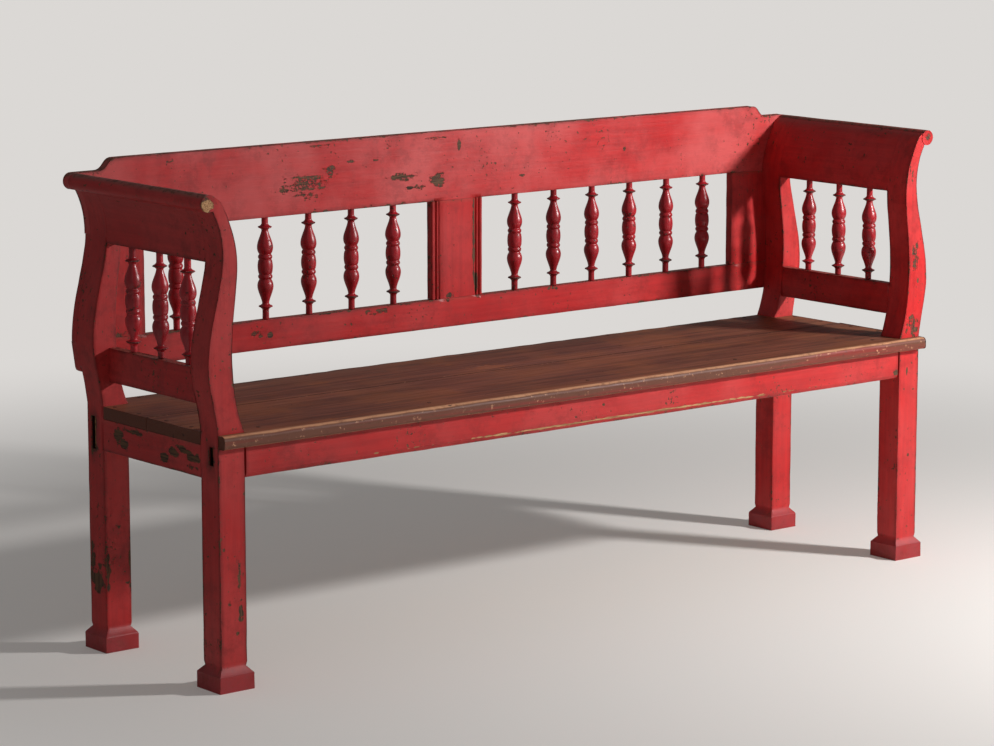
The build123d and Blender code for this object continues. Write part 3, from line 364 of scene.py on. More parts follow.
# %% [markdown]
# Each board has scars of its own. They are listed here by node and face, as the middle
# of the scar on that face and its half size, in millimetres, and how much of it is
# bare: below 0 it is a scatter of specks, above 0.3 it is solid.

# %% Scars of the paint
X, Y, Z = 0, 1, 2
SCAR_DEPTH = 12


def on_face(axis, level, *scars, depth=SCAR_DEPTH):
    """Scars on a flat face, in mm: each two places on it, two half sizes and a cover."""
    placed = []
    for *numbers, cover in scars:
        centre, size = [[n / 1000 for n in pair] for pair in (numbers[:2], numbers[2:])]
        centre.insert(axis, level / 1000)
        size.insert(axis, depth / 1000)
        placed.append((centre, size, cover))
    return placed


SCARS = {
    "crest_rail": on_face(
        Y, 215, (-372, 832, 112, 48, -0.03), (-315, 852, 30, 20, 0.02), (-264, 870, 18, 5, 0.1),
        (-684, 899, 22, 8, -0.05), (-343, 904, 40, 6, -0.02), (-141, 830, 52, 14, 0.1),
        (-50, 822, 36, 22, 0.12), (-105, 808, 55, 10, 0.0), (4, 884, 6, 18, 0.3),
        (-174, 896, 24, 12, 0.0), (-202, 868, 12, 5, 0.1), (-57, 902, 70, 6, 0.0), (440, 848, 8, 14, 0.1),
        (167, 812, 10, 4, 0.2),
    ),
    "lower_back_rail": on_face(
        Y, 215, (-488, 554, 28, 16, 0.0), (-459, 549, 8, 8, 0.3), (-200, 572, 60, 14, 0.05),
        (-24, 577, 12, 10, 0.15), (50, 577, 14, 8, 0.25), (249, 574, 30, 8, 0.0),
    ),
    "center_muntin": on_face(
        Y, 215, (41, 690, 4.5, 110, 0.3), (46, 605, 9, 34, 0.35), (-20, 584, 12, 8, 0.15),
        (-6, 684, 10, 5, -0.05),
    ),
    "left_back_stile": on_face(Y, 215, (-806, 583, 32, 13, 0.1)),
    "left_side_rail": on_face(
        X, -875, (108, 420, 20, 20, 0.35), (92, 405, 20, 12, 0.4), (66, 431, 48, 6, 0.3),
        (-40, 399, 24, 13, 0.4), (-72, 416, 26, 11, 0.4), (-104, 424, 30, 9, 0.4),
        (-134, 414, 24, 10, 0.35), (-130, 396, 26, 10, 0.05),
    ),
    "rear_left_post": on_face(
        Y, 159, (-871, 150, 7, 60, 0.15), (-822, 165, 7, 70, 0.15),
    ) + on_face(
        X, -875, (202, 180, 14, 60, 0.15), (186, 135, 30, 34, 0.35),
    ),
    "front_left_post": on_face(
        Y, -215, (-833, 215, 12, 70, -0.02), (-831, 140, 8, 36, 0.15), (-838, 104, 7, 7, 0.2),
        (-855, 156, 10, 14, 0.0),
    ) + on_face(
        X, -875, (-210, 85, 20, 22, 0.0),
    ),
    "front_right_post": on_face(
        Y, -215, (842, 393, 3, 11, 0.3), (834, 359, 4, 4, 0.3), (861, 356, 4, 4, 0.3),
        (850, 218, 4, 5, 0.3), (856, 490, 28, 36, 0.06), (862, 640, 18, 55, 0.04), (869, 583, 8, 10, 0.1),
        (846, 800, 12, 50, 0.0),
    ),
    "right_arm_roll": on_face(Y, -216, (888, 874, 16, 14, 0.08)),
    "bed_front_rail": on_face(
        Y, -215, (809, 397, 10, 14, 0.3), (17, 419, 4, 3, 0.6),
    ),
}
TO_THE_WOOD = {
    "left_arm_roll": on_face(Y, -215, (-891, 873, 16, 12, 0.5)),
    "bed_front_rail": on_face(Y, -215, (100, 391.5, 660, 3, 0.3)),
}


def painted(node, along, **levels):
    """The red paint of one node, with its scars."""
    places = {"worn_at": SCARS.get(node, ()), "bare_at": TO_THE_WOOD.get(node, ())}
    return red_paint("paint_" + node, along, **places, **levels)


print("scars on", sorted(SCARS))

# %% [markdown]
# The spindles were painted with care and never sat on, so their paint is glossier and
# leans to crimson. Only the sharp rims of the beads and collars are rubbed dark.

# %% Spindle paint
CRIMSON = colour(190, 36, 46)
DARK_CRIMSON = colour(142, 20, 30)
OLIVE = colour(70, 44, 34)


def spindle_paint():
    """Glossy crimson with rubbed rims."""
    made, tree, shader = new_material("spindle_paint")
    board = use(tree, grain, Stretch=GRAIN_ALONG["z"])
    rubbed = use(tree, edge_wear, Amount=1.1, Scale=110.0)
    worn = greatest([rubbed["Mask"], use(tree, chips, Amount=0.5, Scale=110.0)["Mask"]])
    paint = mix(ramp(board["Broad"], 0.3, 0.7), DARK_CRIMSON, CRIMSON)
    darkening = times(use(tree, mottle, Scale=45.0)["Mask"], 0.5)
    paint = layered(paint, (darkening, GRIME_AND_SHADE_RED), (times(worn, 0.85), OLIVE))
    gloss = ramp(board["Fibres"], 0.3, 0.7, 0.27, 0.40)
    give(shader.inputs, {"Base Color": paint, "Roughness": plus(gloss, times(worn, 0.3))})
    bump(tree, shader, minus(times(board["Fibres"], 0.25), worn), 0.0003)
    return made


SPINDLE_PAINT = spindle_paint()
print("spindle paint ready")

# %% [markdown]
# Nearly all the paint on the seat is worn through to wood that polish and dirt have
# turned dark brown. Sitting has rubbed warm lighter areas into it, and its front
# edge is the most worn of all, with a few remains of red below. The pale line along
# the top of that edge is partly worn wood and partly a painted highlight.

# %% Seat finish
SEAT_BROWN = colour(134, 82, 62)
SEAT_DARK = colour(92, 55, 43)
SEAT_WARM = colour(156, 94, 56)
SEAT_PALE_AND_HIGHLIGHT = colour(216, 160, 122)
SEAT_END = colour(98, 52, 36)
NOSING_RED = colour(134, 50, 42)
NOSING_BROWN = colour(108, 66, 50)
JOINT_DIRT = colour(44, 26, 21)
SEAT_GRAIN = (2.2, 55.0, 55.0)
front_low, front_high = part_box("front_seat_board")


def seat_finish(name, warm_at=()):
    """Dark, polished, worn boards with warm places, given as (centre, size, cover)."""
    made, tree, shader = new_material(name)
    board = use(tree, grain, Stretch=SEAT_GRAIN)
    place = place_in(tree)
    at = parts_of(place)
    from_front = minus(at["Y"], front_low.y)
    specks = noise_at(place, 90.0, 5.0, 0.7)
    golden = ramp(board["Broad"], 0.35, 0.6, 0.2, 0.8)
    golden = times(ramp(from_front, 0.060, 0.010), golden)
    warm = [golden, times(ramp(board["Broad"], 0.44, 0.68), 0.7)]
    warm += patch_masks(tree, warm_at, SEAT_GRAIN)
    nosing = layered(
        mix(ramp(board["Streaks"], 0.46, 0.66), NOSING_BROWN, NOSING_RED),
        (times(ramp(specks, 0.42, 0.34), 0.6), SEAT_DARK),
        (times(ramp(specks, 0.60, 0.66), 0.8), SEAT_PALE_AND_HIGHLIGHT),
    )
    # The pale line along the top of the nosing: worn wood, and partly a painted highlight on the rounded
    # edge.
    pale_lip_and_highlight = times(ramp(from_front, 0.0145, 0.0105), ramp(from_front, 0.0018, 0.0048))
    beside = math_node("ABSOLUTE", minus(at["Y"], front_high.y))
    fleck = times(ramp(beside, 0.0060, 0.0030), ramp(specks, 0.58, 0.62))
    outward = math_node("ABSOLUTE", at["X"])
    dents = use(tree, chips, Scale=90.0, Amount=0.2)["Mask"]
    wood = layered(
        mix(ramp(board["Streaks"], 0.34, 0.66), SEAT_DARK, SEAT_BROWN),
        (times(greatest(warm), 0.75), SEAT_WARM),
        (times(ramp(board["Fibres"], 0.56, 0.74), 0.30), SEAT_DARK),
        (times(ramp(board["Streaks"], 0.66, 0.76), 0.22), SEAT_PALE_AND_HIGHLIGHT),
        (ramp(from_front, 0.0052, 0.0012), nosing),
        (times(pale_lip_and_highlight, ramp(specks, 0.30, 0.50, 0.25, 0.85)), SEAT_PALE_AND_HIGHLIGHT),
        (times(fleck, 0.7), SEAT_PALE_AND_HIGHLIGHT),
        (ramp(beside, 0.0020, 0.0008), JOINT_DIRT),
        (ramp(outward, front_high.x - 0.0022, front_high.x - 0.0010), SEAT_END),
        (times(dents, 0.7), JOINT_DIRT),
    )
    gloss = ramp(board["Fibres"], 0.3, 0.7, 0.44, 0.58)
    give(shader.inputs, {"Base Color": wood, "Roughness": gloss, "Specular IOR Level": 0.25})
    height = plus(times(board["Streaks"], 0.8), times(board["Fibres"], 0.4))
    bump(tree, shader, minus(height, dents), 0.0005)
    return made


print("seat finish ready")

# %% [markdown]
# What stays out of sight was never painted: pine that has darkened with age. The year
# rings of a sawn board are long bands, so a wave texture, bent by noise and stretched
# along the board, draws them better than noise alone.

# %% Bare pine and iron
PINE = colour(190, 146, 96)
PINE_RING = colour(140, 92, 52)
PINE_DUST = colour(120, 96, 72)
IRON = colour(58, 52, 48)
RUST = colour(104, 60, 38)


def bare_pine(along):
    """Aged pine with its grain along one axis."""
    made, tree, shader = new_material("bare_pine_" + along)
    board = use(tree, grain, Stretch=GRAIN_ALONG[along])
    place = place_in(tree)
    across = tuple(0.04 if axis == along else 1.0 for axis in "xyz")
    squeezed = shifted("MULTIPLY", place, across)
    direction = "Y" if along == "x" else "X"
    sockets = {"Vector": squeezed, "Scale": 40.0, "Distortion": 6.0, "Detail": 3.0, "Detail Scale": 2.0}
    rings = put(tree, "TexWave", sockets, bands_direction=direction).outputs["Fac"]
    dusty = times(ramp(board["Broad"], 0.35, 0.8), 0.7)
    fibrous = times(ramp(board["Fibres"], 0.5, 0.8), 0.4)
    wood = layered(mix(ramp(rings, 0.55, 0.95), PINE, PINE_RING), (dusty, PINE_DUST), (fibrous, PINE_RING))
    give(shader.inputs, {"Base Color": wood, "Roughness": ramp(board["Fibres"], 0.3, 0.7, 0.62, 0.78)})
    bump(tree, shader, plus(rings, board["Fibres"]), 0.0004)
    return made


def iron():
    """Dark forged iron with a little rust."""
    made, tree, shader = new_material("iron")
    rusty = use(tree, chips, Scale=400.0, Amount=0.9)
    board = use(tree, grain, Stretch=(300.0, 300.0, 300.0))
    metal = layered(IRON, (ramp(board["Streaks"], 0.45, 0.65), RUST), (rusty["Mask"], RUST))
    gloss = ramp(board["Streaks"], 0.4, 0.6, 0.45, 0.7)
    give(shader.inputs, {"Base Color": metal, "Roughness": gloss, "Metallic": 0.6})
    bump(tree, shader, board["Streaks"], 0.0002)
    return made


PINE_ALONG = {axis: bare_pine(axis) for axis in "xyz"}
IRON_DARK = iron()
print("pine and iron ready")

# %% [markdown]
# The construction has the true outline of every piece. Where a plane crosses a
# construction mesh, the lowest and highest crossing say how wide the piece is there,
# so the meshes below follow the same curves without a list of points.

# %% Measuring the construction
measured = {}


def edges_of(node):
    """Both ends of every edge of a construction mesh, as two arrays."""
    if node not in measured:
        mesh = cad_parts[node].data
        points = np.array([v.co for v in mesh.vertices])
        ends = np.array([e.vertices[:] for e in mesh.edges])
        measured[node] = (points[ends[:, 0]], points[ends[:, 1]])
    return measured[node]


def span_at(node, axis, value, across):
    """Lowest and highest place along one axis, where a plane crosses a node."""
    first, second = edges_of(node)
    before, after = first[:, axis] - value, second[:, axis] - value
    hit = (before * after <= 0) & (before != after)
    share = (before[hit] / (before[hit] - after[hit]))[:, None]
    crossing = first[hit] + share * (second[hit] - first[hit])
    return float(crossing[:, across].min()), float(crossing[:, across].max())


SEAT_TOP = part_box("front_seat_board")[1].z
LEG_MIDDLE = 0.2  # a height at which the legs are plain and square
post_low, post_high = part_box("front_right_post")
POST_INNER_X = min(abs(n) for n in span_at("front_right_post", Z, LEG_MIDDLE, X))
POST_INNER_Y = span_at("rear_left_post", Z, LEG_MIDDLE, Y)[0]
print("seat at", round(SEAT_TOP, 4), "post", [round(n, 4) for n in post_high - post_low])

# %% [markdown]
# Where two pieces meet, paint has filled the joint and the edges were never rubbed. So
# the finish has to know which edges are open and which lie in a joint. A BVH tree of
# each construction mesh answers that fast: is any other piece within a millimetre?

# %% Joints between pieces
from mathutils.bvhtree import BVHTree

TOUCHING = 0.0012  # from a face to the piece beside it
solids = {}
for node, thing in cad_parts.items():
    corners = [v.co.copy() for v in thing.data.vertices]
    faces = [p.vertices[:] for p in thing.data.polygons]
    solids[node] = (BVHTree.FromPolygons(corners, faces), *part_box(node))


def touches(point, own_node):
    """Whether another piece of the construction lies at a point."""
    for node, (tree, low, high) in solids.items():
        if node != own_node and all(low[n] - TOUCHING < point[n] < high[n] + TOUCHING for n in range(3)):
            if tree.find_nearest(point, TOUCHING)[0] is not None:
                return True
    return False


print(len(solids), "solids to test against")

# %% [markdown]
# Every wooden piece is finished the same way. Loops of edges 8 mm from the arrises
# keep the value named edge close to them. Then the sharp edges that nothing covers are
# bevelled, and the surface is pressed in here and there by up to a few millimetres,
# more at the arrises, because nothing used for a century is quite true.

# %% Finishing a wooden mesh
REACH = 0.008  # from an arris to the loop beside it
LOOP_STEP = 0.03  # between the loops of a plain board
SHARP = math.radians(28)
USUAL_DENTS = (0.0004, 0.0012, 0.0)  # deepest on faces, on arrises and on tops
LEAST_DENT = 0.0001
DENTS_PER_METRE = (14.0, 38.0, 16.0)  # likewise
FLAT_BELOW = 0.002  # what stands on the floor stays flat


def cut_across(bm, axis, places):
    """Loops of edges where planes cross a mesh."""
    normal = Vector([1.0 if n == axis else 0.0 for n in range(3)])
    for place in places:
        geometry = bm.verts[:] + bm.edges[:] + bm.faces[:]
        bmesh.ops.bisect_plane(bm, geom=geometry, plane_co=normal * place, plane_no=normal, dist=1e-6)


def steps(low, high, length):
    """Evenly spaced places strictly between two ends."""
    count = max(1, round((high - low) / length))
    return [low + (high - low) * n / count for n in range(1, count)]


def with_reach(low, high, length):
    """Places to cut a board at: near both ends, and evenly between."""
    return [low + REACH, *steps(low + REACH, high - REACH, length), high - REACH]


def grow(bm, faces, close_start=False):
    """Extrudes a cap; the old cap goes, unless it closes the start of the solid."""
    grown = bmesh.ops.extrude_face_region(bm, geom=faces)["geom"]
    if not close_start:
        bmesh.ops.delete(bm, geom=faces, context="FACES")
    return [part for part in grown if isinstance(part, bmesh.types.BMFace)]


def corners_of(faces):
    """The vertices of several faces, each once."""
    return list({v for face in faces for v in face.verts})


def value_of(bm, name):
    """A named value that every vertex carries."""
    return bm.verts.layers.float.get(name) or bm.verts.layers.float.new(name)


def bevel(bm, edges, offset, segments):
    """A round bevel, or with one segment a flat one."""
    settings = {"affect": "EDGES", "profile": 0.5, "material": -1, "clamp_overlap": True}
    bmesh.ops.bevel(bm, geom=edges, offset=offset, segments=segments, **settings)


print("cutting and bevelling ready")

# %% Worn arrises and dents
def mark_and_round(bm, node, rounding, hide_seams=True):
    """Marks the open arrises with the value named edge, and bevels them."""
    bmesh.ops.recalc_face_normals(bm, faces=bm.faces)
    edge = value_of(bm, "edge")
    rounded = []
    for e in bm.edges:
        if e.is_manifold and e.calc_face_angle() > SHARP:
            middle = (e.verts[0].co + e.verts[1].co) / 2
            seam = any(touches(middle + face.normal * TOUCHING / 2, node) for face in e.link_faces)
            if seam and hide_seams:
                e.smooth = False
            elif e.is_convex:
                rounded.append(e)
                for v in e.verts:
                    v[edge] = max(v[edge], 0.25 if seam else 1.0)
    bevel(bm, rounded, rounding, 3)


def hollow(point, scale):
    """Smooth noise from 0 to 1."""
    return min(1.0, max(0.0, 0.5 + 0.6 * noise.noise(point * scale)))


def press_in(bm, seed, flat, edges, tops):
    """Presses the surface in by small uneven amounts, and marks what faces up."""
    bm.normal_update()
    edge, top = value_of(bm, "edge"), value_of(bm, "top")
    shift = Vector((seed, 2.7 * seed, 5.1 * seed))
    moves = {}
    for v in bm.verts:
        upward = min(1.0, max(0.0, 2.5 * v.normal.z - 1.2))
        on_flat, on_edge, on_top = [hollow(v.co + shift, scale) for scale in DENTS_PER_METRE]
        depth = LEAST_DENT + flat * on_flat
        depth += v[edge] * edges * on_edge**2
        depth += upward * tops * on_top**2
        v[top] = upward
        moves[v] = v.normal * depth
    for v, move in moves.items():
        if v.co.z > FLAT_BELOW:
            v.co -= move


print("marking and denting ready")

# %% From a mesh to a piece of the scene
made_pieces = {}


def make_piece(bm, node, kind, material, body="bench", slot="red_paint"):
    """Turns a finished bmesh into a piece of the scene that stands for its node."""
    mesh = bpy.data.meshes.new(f"{node}_{kind}")
    bm.to_mesh(mesh)
    bm.free()
    mesh.polygons.foreach_set("use_smooth", [True] * len(mesh.polygons))
    mesh.materials.append(material)
    piece = bpy.data.objects.new(mesh.name, mesh)
    bpy.context.scene.collection.objects.link(piece)
    piece.modifiers.new("flat faces", "WEIGHTED_NORMAL").keep_sharp = True
    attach(piece, body)
    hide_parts(node)
    made_pieces[node] = piece
    return piece


def wooden(bm, node, material, seed, rounding=0.0018, dents=USUAL_DENTS, hide_seams=True, **where):
    """Finishes a wooden piece and adds it; the dents are those of faces, arrises and tops."""
    mark_and_round(bm, node, rounding, hide_seams)
    press_in(bm, seed, *dents)
    return make_piece(bm, node, "wood", material, **where)


print("finishing ready")

# %% [markdown]
# The posts are the hardest shape: a foot block, a square leg and an S-curved stile in
# one piece. The section is a small grid, laid on the floor and extruded upwards, rung
# by rung, each rung as wide as the construction is at that height. This keeps neat
# rows of faces all the way up, which a boolean or a curve's fill wouldn't.

# %% Sections that are extruded rung by rung
def shares(width):
    """Where the columns of a section stand across it, from 0 to 1."""
    return [0.0, *(n / width for n in with_reach(0.0, width, LOOP_STEP)), 1.0]


class Rungs:
    """A solid that grows rung by rung; a rung is two points in X-Z, and two depths in Y."""

    def __init__(self, columns, rows):
        self.bm = bmesh.new()
        self.columns, self.rows = columns, rows
        across, deep = len(columns) - 1, len(rows) - 1
        bmesh.ops.create_grid(self.bm, x_segments=across, y_segments=deep, size=0.5)
        self.column = self.bm.verts.layers.int.new("column")
        self.row = self.bm.verts.layers.int.new("row")
        for v in self.bm.verts:
            v[self.column] = round((v.co.x + 0.5) * across)
            v[self.row] = round((v.co.y + 0.5) * deep)
        self.faces = self.bm.faces[:]
        self.count = 0

    def add(self, first, second, y_low, y_high):
        """Puts the next rung in place."""
        if self.count:
            self.faces = grow(self.bm, self.faces, close_start=self.count == 1)
        self.count += 1
        depths = [y_low, *self.rows[1:-1], y_high]
        for v in corners_of(self.faces):
            share = self.columns[v[self.column]]
            x = first[0] + share * (second[0] - first[0])
            z = first[1] + share * (second[1] - first[1])
            v.co = (x, depths[v[self.row]], z)


print("rungs ready")

# %% [markdown]
# The foot has four rungs: the block, its shoulder, the waist above it and the start of
# the square leg. Above the seat the rungs are 12 mm apart, and closer together where
# the stile turns in under the round edge of the arm.

# %% Posts
FOOT_RUNGS = (0.0, 0.030, 0.042, 0.050)
STILE_STEP = 0.012
ROUND_STEP = 0.003
ROUND_EDGE = 0.036  # height of the part that turns in under the round edge
MORTISE_DEPTH = 0.0078
IN_TENON = 0.005  # from the end of a rail to a place where it is still a tenon


def rungs_to_top(node, start):
    """Heights from a start to the top of a piece, closer together at the end."""
    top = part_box(node)[1].z
    bend = top - ROUND_EDGE
    return [*steps(start, bend, STILE_STEP), bend, *steps(bend, top, ROUND_STEP), top]


def span_in(node, height, across):
    """The width of a node at a height, kept just inside its ends, nearest side first."""
    low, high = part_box(node)
    inside = min(max(height, low.z + 1e-5), high.z - 2e-4)
    return sorted(span_at(node, Z, inside, across), key=abs)


def slot_of(end):
    """Depth in Y and height in Z of the slot that a long rail's tenon leaves."""
    rail = {"front": "front_tie_rail", "rear": "rear_seat_rail"}[end]
    low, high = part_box(rail)
    return span_at(rail, X, high.x - IN_TENON, Y), (low.z, high.z)


def post_mesh(node):
    """One post, with the slot of the through tenon in its outer face."""
    leg = span_in(node, LEG_MIDDLE, X)
    depth = span_at(node, Z, LEG_MIDDLE, Y)
    slot_y, slot_z = slot_of(node.split("_")[0])
    rows = sorted({depth[0], depth[0] + REACH, *slot_y, depth[1] - REACH, depth[1]})
    post = Rungs(shares(abs(leg[1] - leg[0])), rows)
    heights = [*FOOT_RUNGS, *steps(FOOT_RUNGS[-1], slot_z[0], LOOP_STEP), *slot_z, SEAT_TOP]
    for height in heights + rungs_to_top(node, SEAT_TOP):
        inner, outer = span_in(node, height, X)
        post.add((inner, height), (outer, height), *sorted(span_in(node, height, Y)))
    deep = value_of(post.bm, "deep")
    for face in post.bm.faces[:]:
        middle = face.calc_center_median()
        outside = abs(middle.x) > abs(leg[1]) - 1e-4
        if outside and slot_z[0] < middle.z < slot_z[1] and slot_y[0] < middle.y < slot_y[1]:
            bottom = bmesh.ops.extrude_discrete_faces(post.bm, faces=[face])["faces"][0]
            # The slot's bottom is marked with the value named deep, which the paint turns into painted
            # shade.
            for v in bottom.verts:
                v.co.x -= math.copysign(MORTISE_DEPTH, leg[1])
                v[deep] = 1.0
    return post.bm


for number, name in enumerate(("front_left_post", "front_right_post", "rear_left_post", "rear_right_post")):
    paint = painted(name, "z", tops=0.2)
    piece = wooden(post_mesh(name), name, paint, number + 1.0, rounding=0.0022)
    print(name, len(piece.data.polygons), "faces")

# %% [markdown]
# The arm boards have the section of the stiles, so they grow the same way, from their
# straight lower edge to the round edge on top.

# %% Arm boards
BOARD_THICKNESS = 0.04  # near enough to place the columns

for number, side in enumerate(("left", "right")):
    name = side + "_arm_board"
    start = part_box(name)[0].z
    rows = [-POST_INNER_Y, *with_reach(-POST_INNER_Y, POST_INNER_Y, LOOP_STEP), POST_INNER_Y]
    board = Rungs(shares(BOARD_THICKNESS), rows)
    for height in [start, start + REACH, *rungs_to_top(name, start + REACH)]:
        inner, outer = span_in(name, height, X)
        board.add((inner, height), (outer, height), -POST_INNER_Y, POST_INNER_Y)
    wooden(board.bm, name, painted(name, "y", tops=0.2), number + 11.0)
print("arm boards ready")

# %% [markdown]
# A squared board is a cube between two corners, with loops cut across it near its
# ends and at even steps between.

# %% Squared boards
def squared(low, high):
    """A board between two corners, with loops across each axis where it is wide enough."""
    bm = bmesh.new()
    low, high = Vector(low), Vector(high)
    shape = Matrix.Translation((low + high) / 2) @ Matrix.Diagonal((*(high - low), 1.0))
    bmesh.ops.create_cube(bm, size=1.0, matrix=shape)
    for axis in (X, Y, Z):
        if high[axis] - low[axis] > 2.5 * REACH:
            cut_across(bm, axis, with_reach(low[axis], high[axis], LOOP_STEP))
    return bm


for number, side in enumerate(("left", "right")):
    for kind, top_dents in (("arm_rail", 0.0025), ("side_rail", 0.0)):
        name = f"{side}_{kind}"
        low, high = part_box(name)
        board = squared((low.x, -POST_INNER_Y, low.z), (high.x, POST_INNER_Y, high.z))
        wooden(board, name, painted(name, "y"), number + 21.0, dents=(0.0004, 0.0012, top_dents))
print("boards between the posts ready")

# %% [markdown]
# The round edge on top of each arm is a rod: a circle, extruded along the arm in
# steps so that it can be dented, and bevelled at its front end.

# %% Round edges of the arms
ROD_SIDES = 36
ROD_STEP = 0.02


def rod(low, high):
    """A round rod along Y that fills a box."""
    bm = bmesh.new()
    centre = (low + high) / 2
    place = Matrix.Translation((centre.x, low.y, centre.z)) @ Matrix.Rotation(math.pi / 2, 4, "X")
    radius = (high.z - low.z) / 2
    bmesh.ops.create_circle(bm, cap_ends=True, segments=ROD_SIDES, radius=radius, matrix=place)
    faces = bm.faces[:]
    for n, y in enumerate([*with_reach(low.y, high.y, ROD_STEP), high.y]):
        faces = grow(bm, faces, close_start=n == 0)
        for v in corners_of(faces):
            v.co.y = y
    return bm


for number, (side, worn) in enumerate((("left", 0.8), ("right", 0.25))):
    name = side + "_arm_roll"
    paint = painted(name, "y", edges=worn, tops=0.9)
    wooden(rod(*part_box(name)), name, paint, number + 31.0, rounding=0.003, dents=(0.0006, 0.0012, 0.0008))
print("round edges ready")

# %% [markdown]
# Seen from the front, the crest rail is a band between two lines: a straight lower edge
# and an upper edge that is raised in the middle. It grows sideways instead of
# upwards, and its ends run out over the round edges of the arms.

# %% Crest rail and lower back rail
def band(node, end_stations):
    """A rail that grows along X; each station is a lower and an upper point in X-Z."""
    low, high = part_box(node)
    half = []
    for x in [0.0, *steps(0.0, end_stations[0][0][0], LOOP_STEP)]:
        bottom, top = span_at(node, X, x, Z)
        half.append(((x, bottom), (x, top)))
    half += end_stations
    mirrored = [((-a[0], a[1]), (-b[0], b[1])) for a, b in reversed(half[1:])]
    height = half[0][1][1] - half[0][0][1]
    rail = Rungs(shares(height), [low.y, low.y + REACH, high.y - REACH, high.y])
    for lower, upper in mirrored + half:
        rail.add(lower, upper, low.y, high.y)
    return rail.bm


STILL_RAISED = 0.78  # the crest has its full height here
crest_low, crest_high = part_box("crest_rail")
roll_low, roll_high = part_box("right_arm_roll")
roll_radius = (roll_high.z - roll_low.z) / 2
roll_x, roll_z = (roll_low.x + roll_high.x) / 2, (roll_low.z + roll_high.z) / 2
top_end = STILL_RAISED
while span_at("crest_rail", X, top_end, Z)[1] > crest_high.z - 1e-4:
    top_end += 0.001
print("raised top ends at", round(top_end, 4), "roll centre", round(roll_x, 4), round(roll_z, 4))

COVE_END = 0.85
COVE_STATIONS, LOWER_STATIONS, TURN_STATIONS = 14, 16, 10
FIRST_TURN, LAST_TURN = 8, 85  # degrees round the end of the crest
stations = []
for x in [top_end - LOOP_STEP, *np.linspace(top_end, COVE_END, COVE_STATIONS)]:
    stations.append(((x, crest_low.z), (x, span_at("crest_rail", X, x, Z)[1])))
for n in range(LOWER_STATIONS + 1):
    share = n / LOWER_STATIONS
    z = crest_low.z + 1e-5 + share * (roll_low.z - crest_low.z - 4e-4)
    x = COVE_END + 0.002 + share * (roll_x - COVE_END - 0.002)
    stations.append(((span_at("crest_rail", Z, z, X)[1], z), (x, span_at("crest_rail", X, x, Z)[1])))
for n in range(1, TURN_STATIONS + 1):
    turn = math.radians(FIRST_TURN + (LAST_TURN - FIRST_TURN) * n / TURN_STATIONS)
    x = roll_x + roll_radius * math.sin(turn)
    rise = roll_radius * math.cos(turn)
    stations.append(((x, roll_z - rise), (x, roll_z + rise)))
paint = painted("crest_rail", "x", chalk=0.8, tops=0.9)
wooden(band("crest_rail", stations), "crest_rail", paint, 41.0, dents=(0.0004, 0.0012, 0.0008))

rail_low, rail_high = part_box("lower_back_rail")
CORNER = 0.009
CORNER_STATIONS, CORNER_STEP = 4, 0.002
STRAIGHT_UP_TO = (0.80, 0.83, 0.855)
stations = [((x, rail_low.z), (x, rail_high.z)) for x in STRAIGHT_UP_TO]
for n in range(CORNER_STATIONS + 1):
    turn = math.radians(90 * n / CORNER_STATIONS)
    z = rail_low.z + CORNER * (1 - math.cos(turn)) + 1e-5
    lower = (span_at("lower_back_rail", Z, z, X)[1] - 1e-5, z)
    end = span_at("lower_back_rail", Z, rail_high.z - 1e-4, X)[1]
    stations.append((lower, (end - (CORNER_STATIONS - n) * CORNER_STEP, rail_high.z)))
wooden(band("lower_back_rail", stations), "lower_back_rail", painted("lower_back_rail", "x"), 42.0)

# %% [markdown]
# The middle board of the back has two beads down each side, with a narrow groove
# beside each. That profile is a line of depths across the board, in plain arithmetic:
# a half circle for a bead, a step for a groove. The board gets a loop of edges for
# each point of the line, and its front vertices sink to the line's depth. The boards
# at the ends of the back follow the curve of the posts, so they grow in rungs.

# %% Panels of the back
BEADS = ((0.0, 0.0045), (0.0115, 0.0030))  # start and radius of each, from the side
GROOVE = 0.004
GROOVE_WIDTH = 0.0023
GROOVE_WALL = 0.0002
PANEL_ROUNDING = 0.0012
BEAD_STEPS = 8


def bead_line(beads):
    """Insets from the side of the board and the depth at each, in metres."""
    line = []
    for start, radius in beads:
        for n in range(BEAD_STEPS + 1):
            turn = math.pi * n / BEAD_STEPS
            depth = min(radius * (1 - math.sin(turn)), GROOVE)
            line.append((start + radius * (1 - math.cos(turn)), depth))
        line.append((start + 2 * radius + GROOVE_WIDTH, GROOVE))
    line.append((line[-1][0] + GROOVE_WALL, 0.0))
    return line


def beaded(bm, low, high):
    """Sinks the front of a board to the line of the beads, at both of its sides."""
    insets, depths = zip(*bead_line(BEADS))
    cut_across(bm, X, [side * (high.x - inset) for inset in insets[1:] for side in (1, -1)])
    edge = value_of(bm, "edge")
    for v in bm.verts:
        inset = high.x - abs(v.co.x)
        if v.co.y < low.y + 0.0015:
            v.co.y = low.y + float(np.interp(inset, insets, depths))
            v[edge] = 0.3 if inset < insets[-1] else 0.0


PANEL_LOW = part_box("lower_back_rail")[1].z
PANEL_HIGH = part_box("crest_rail")[0].z
low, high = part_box("center_muntin")
low.z, high.z = PANEL_LOW, PANEL_HIGH
board = squared(low, high)
mark_and_round(board, "center_muntin", PANEL_ROUNDING)
beaded(board, low, high)
press_in(board, 52.0, *USUAL_DENTS)
make_piece(board, "center_muntin", "wood", painted("center_muntin", "z", chalk=0.25, edges=0.25))

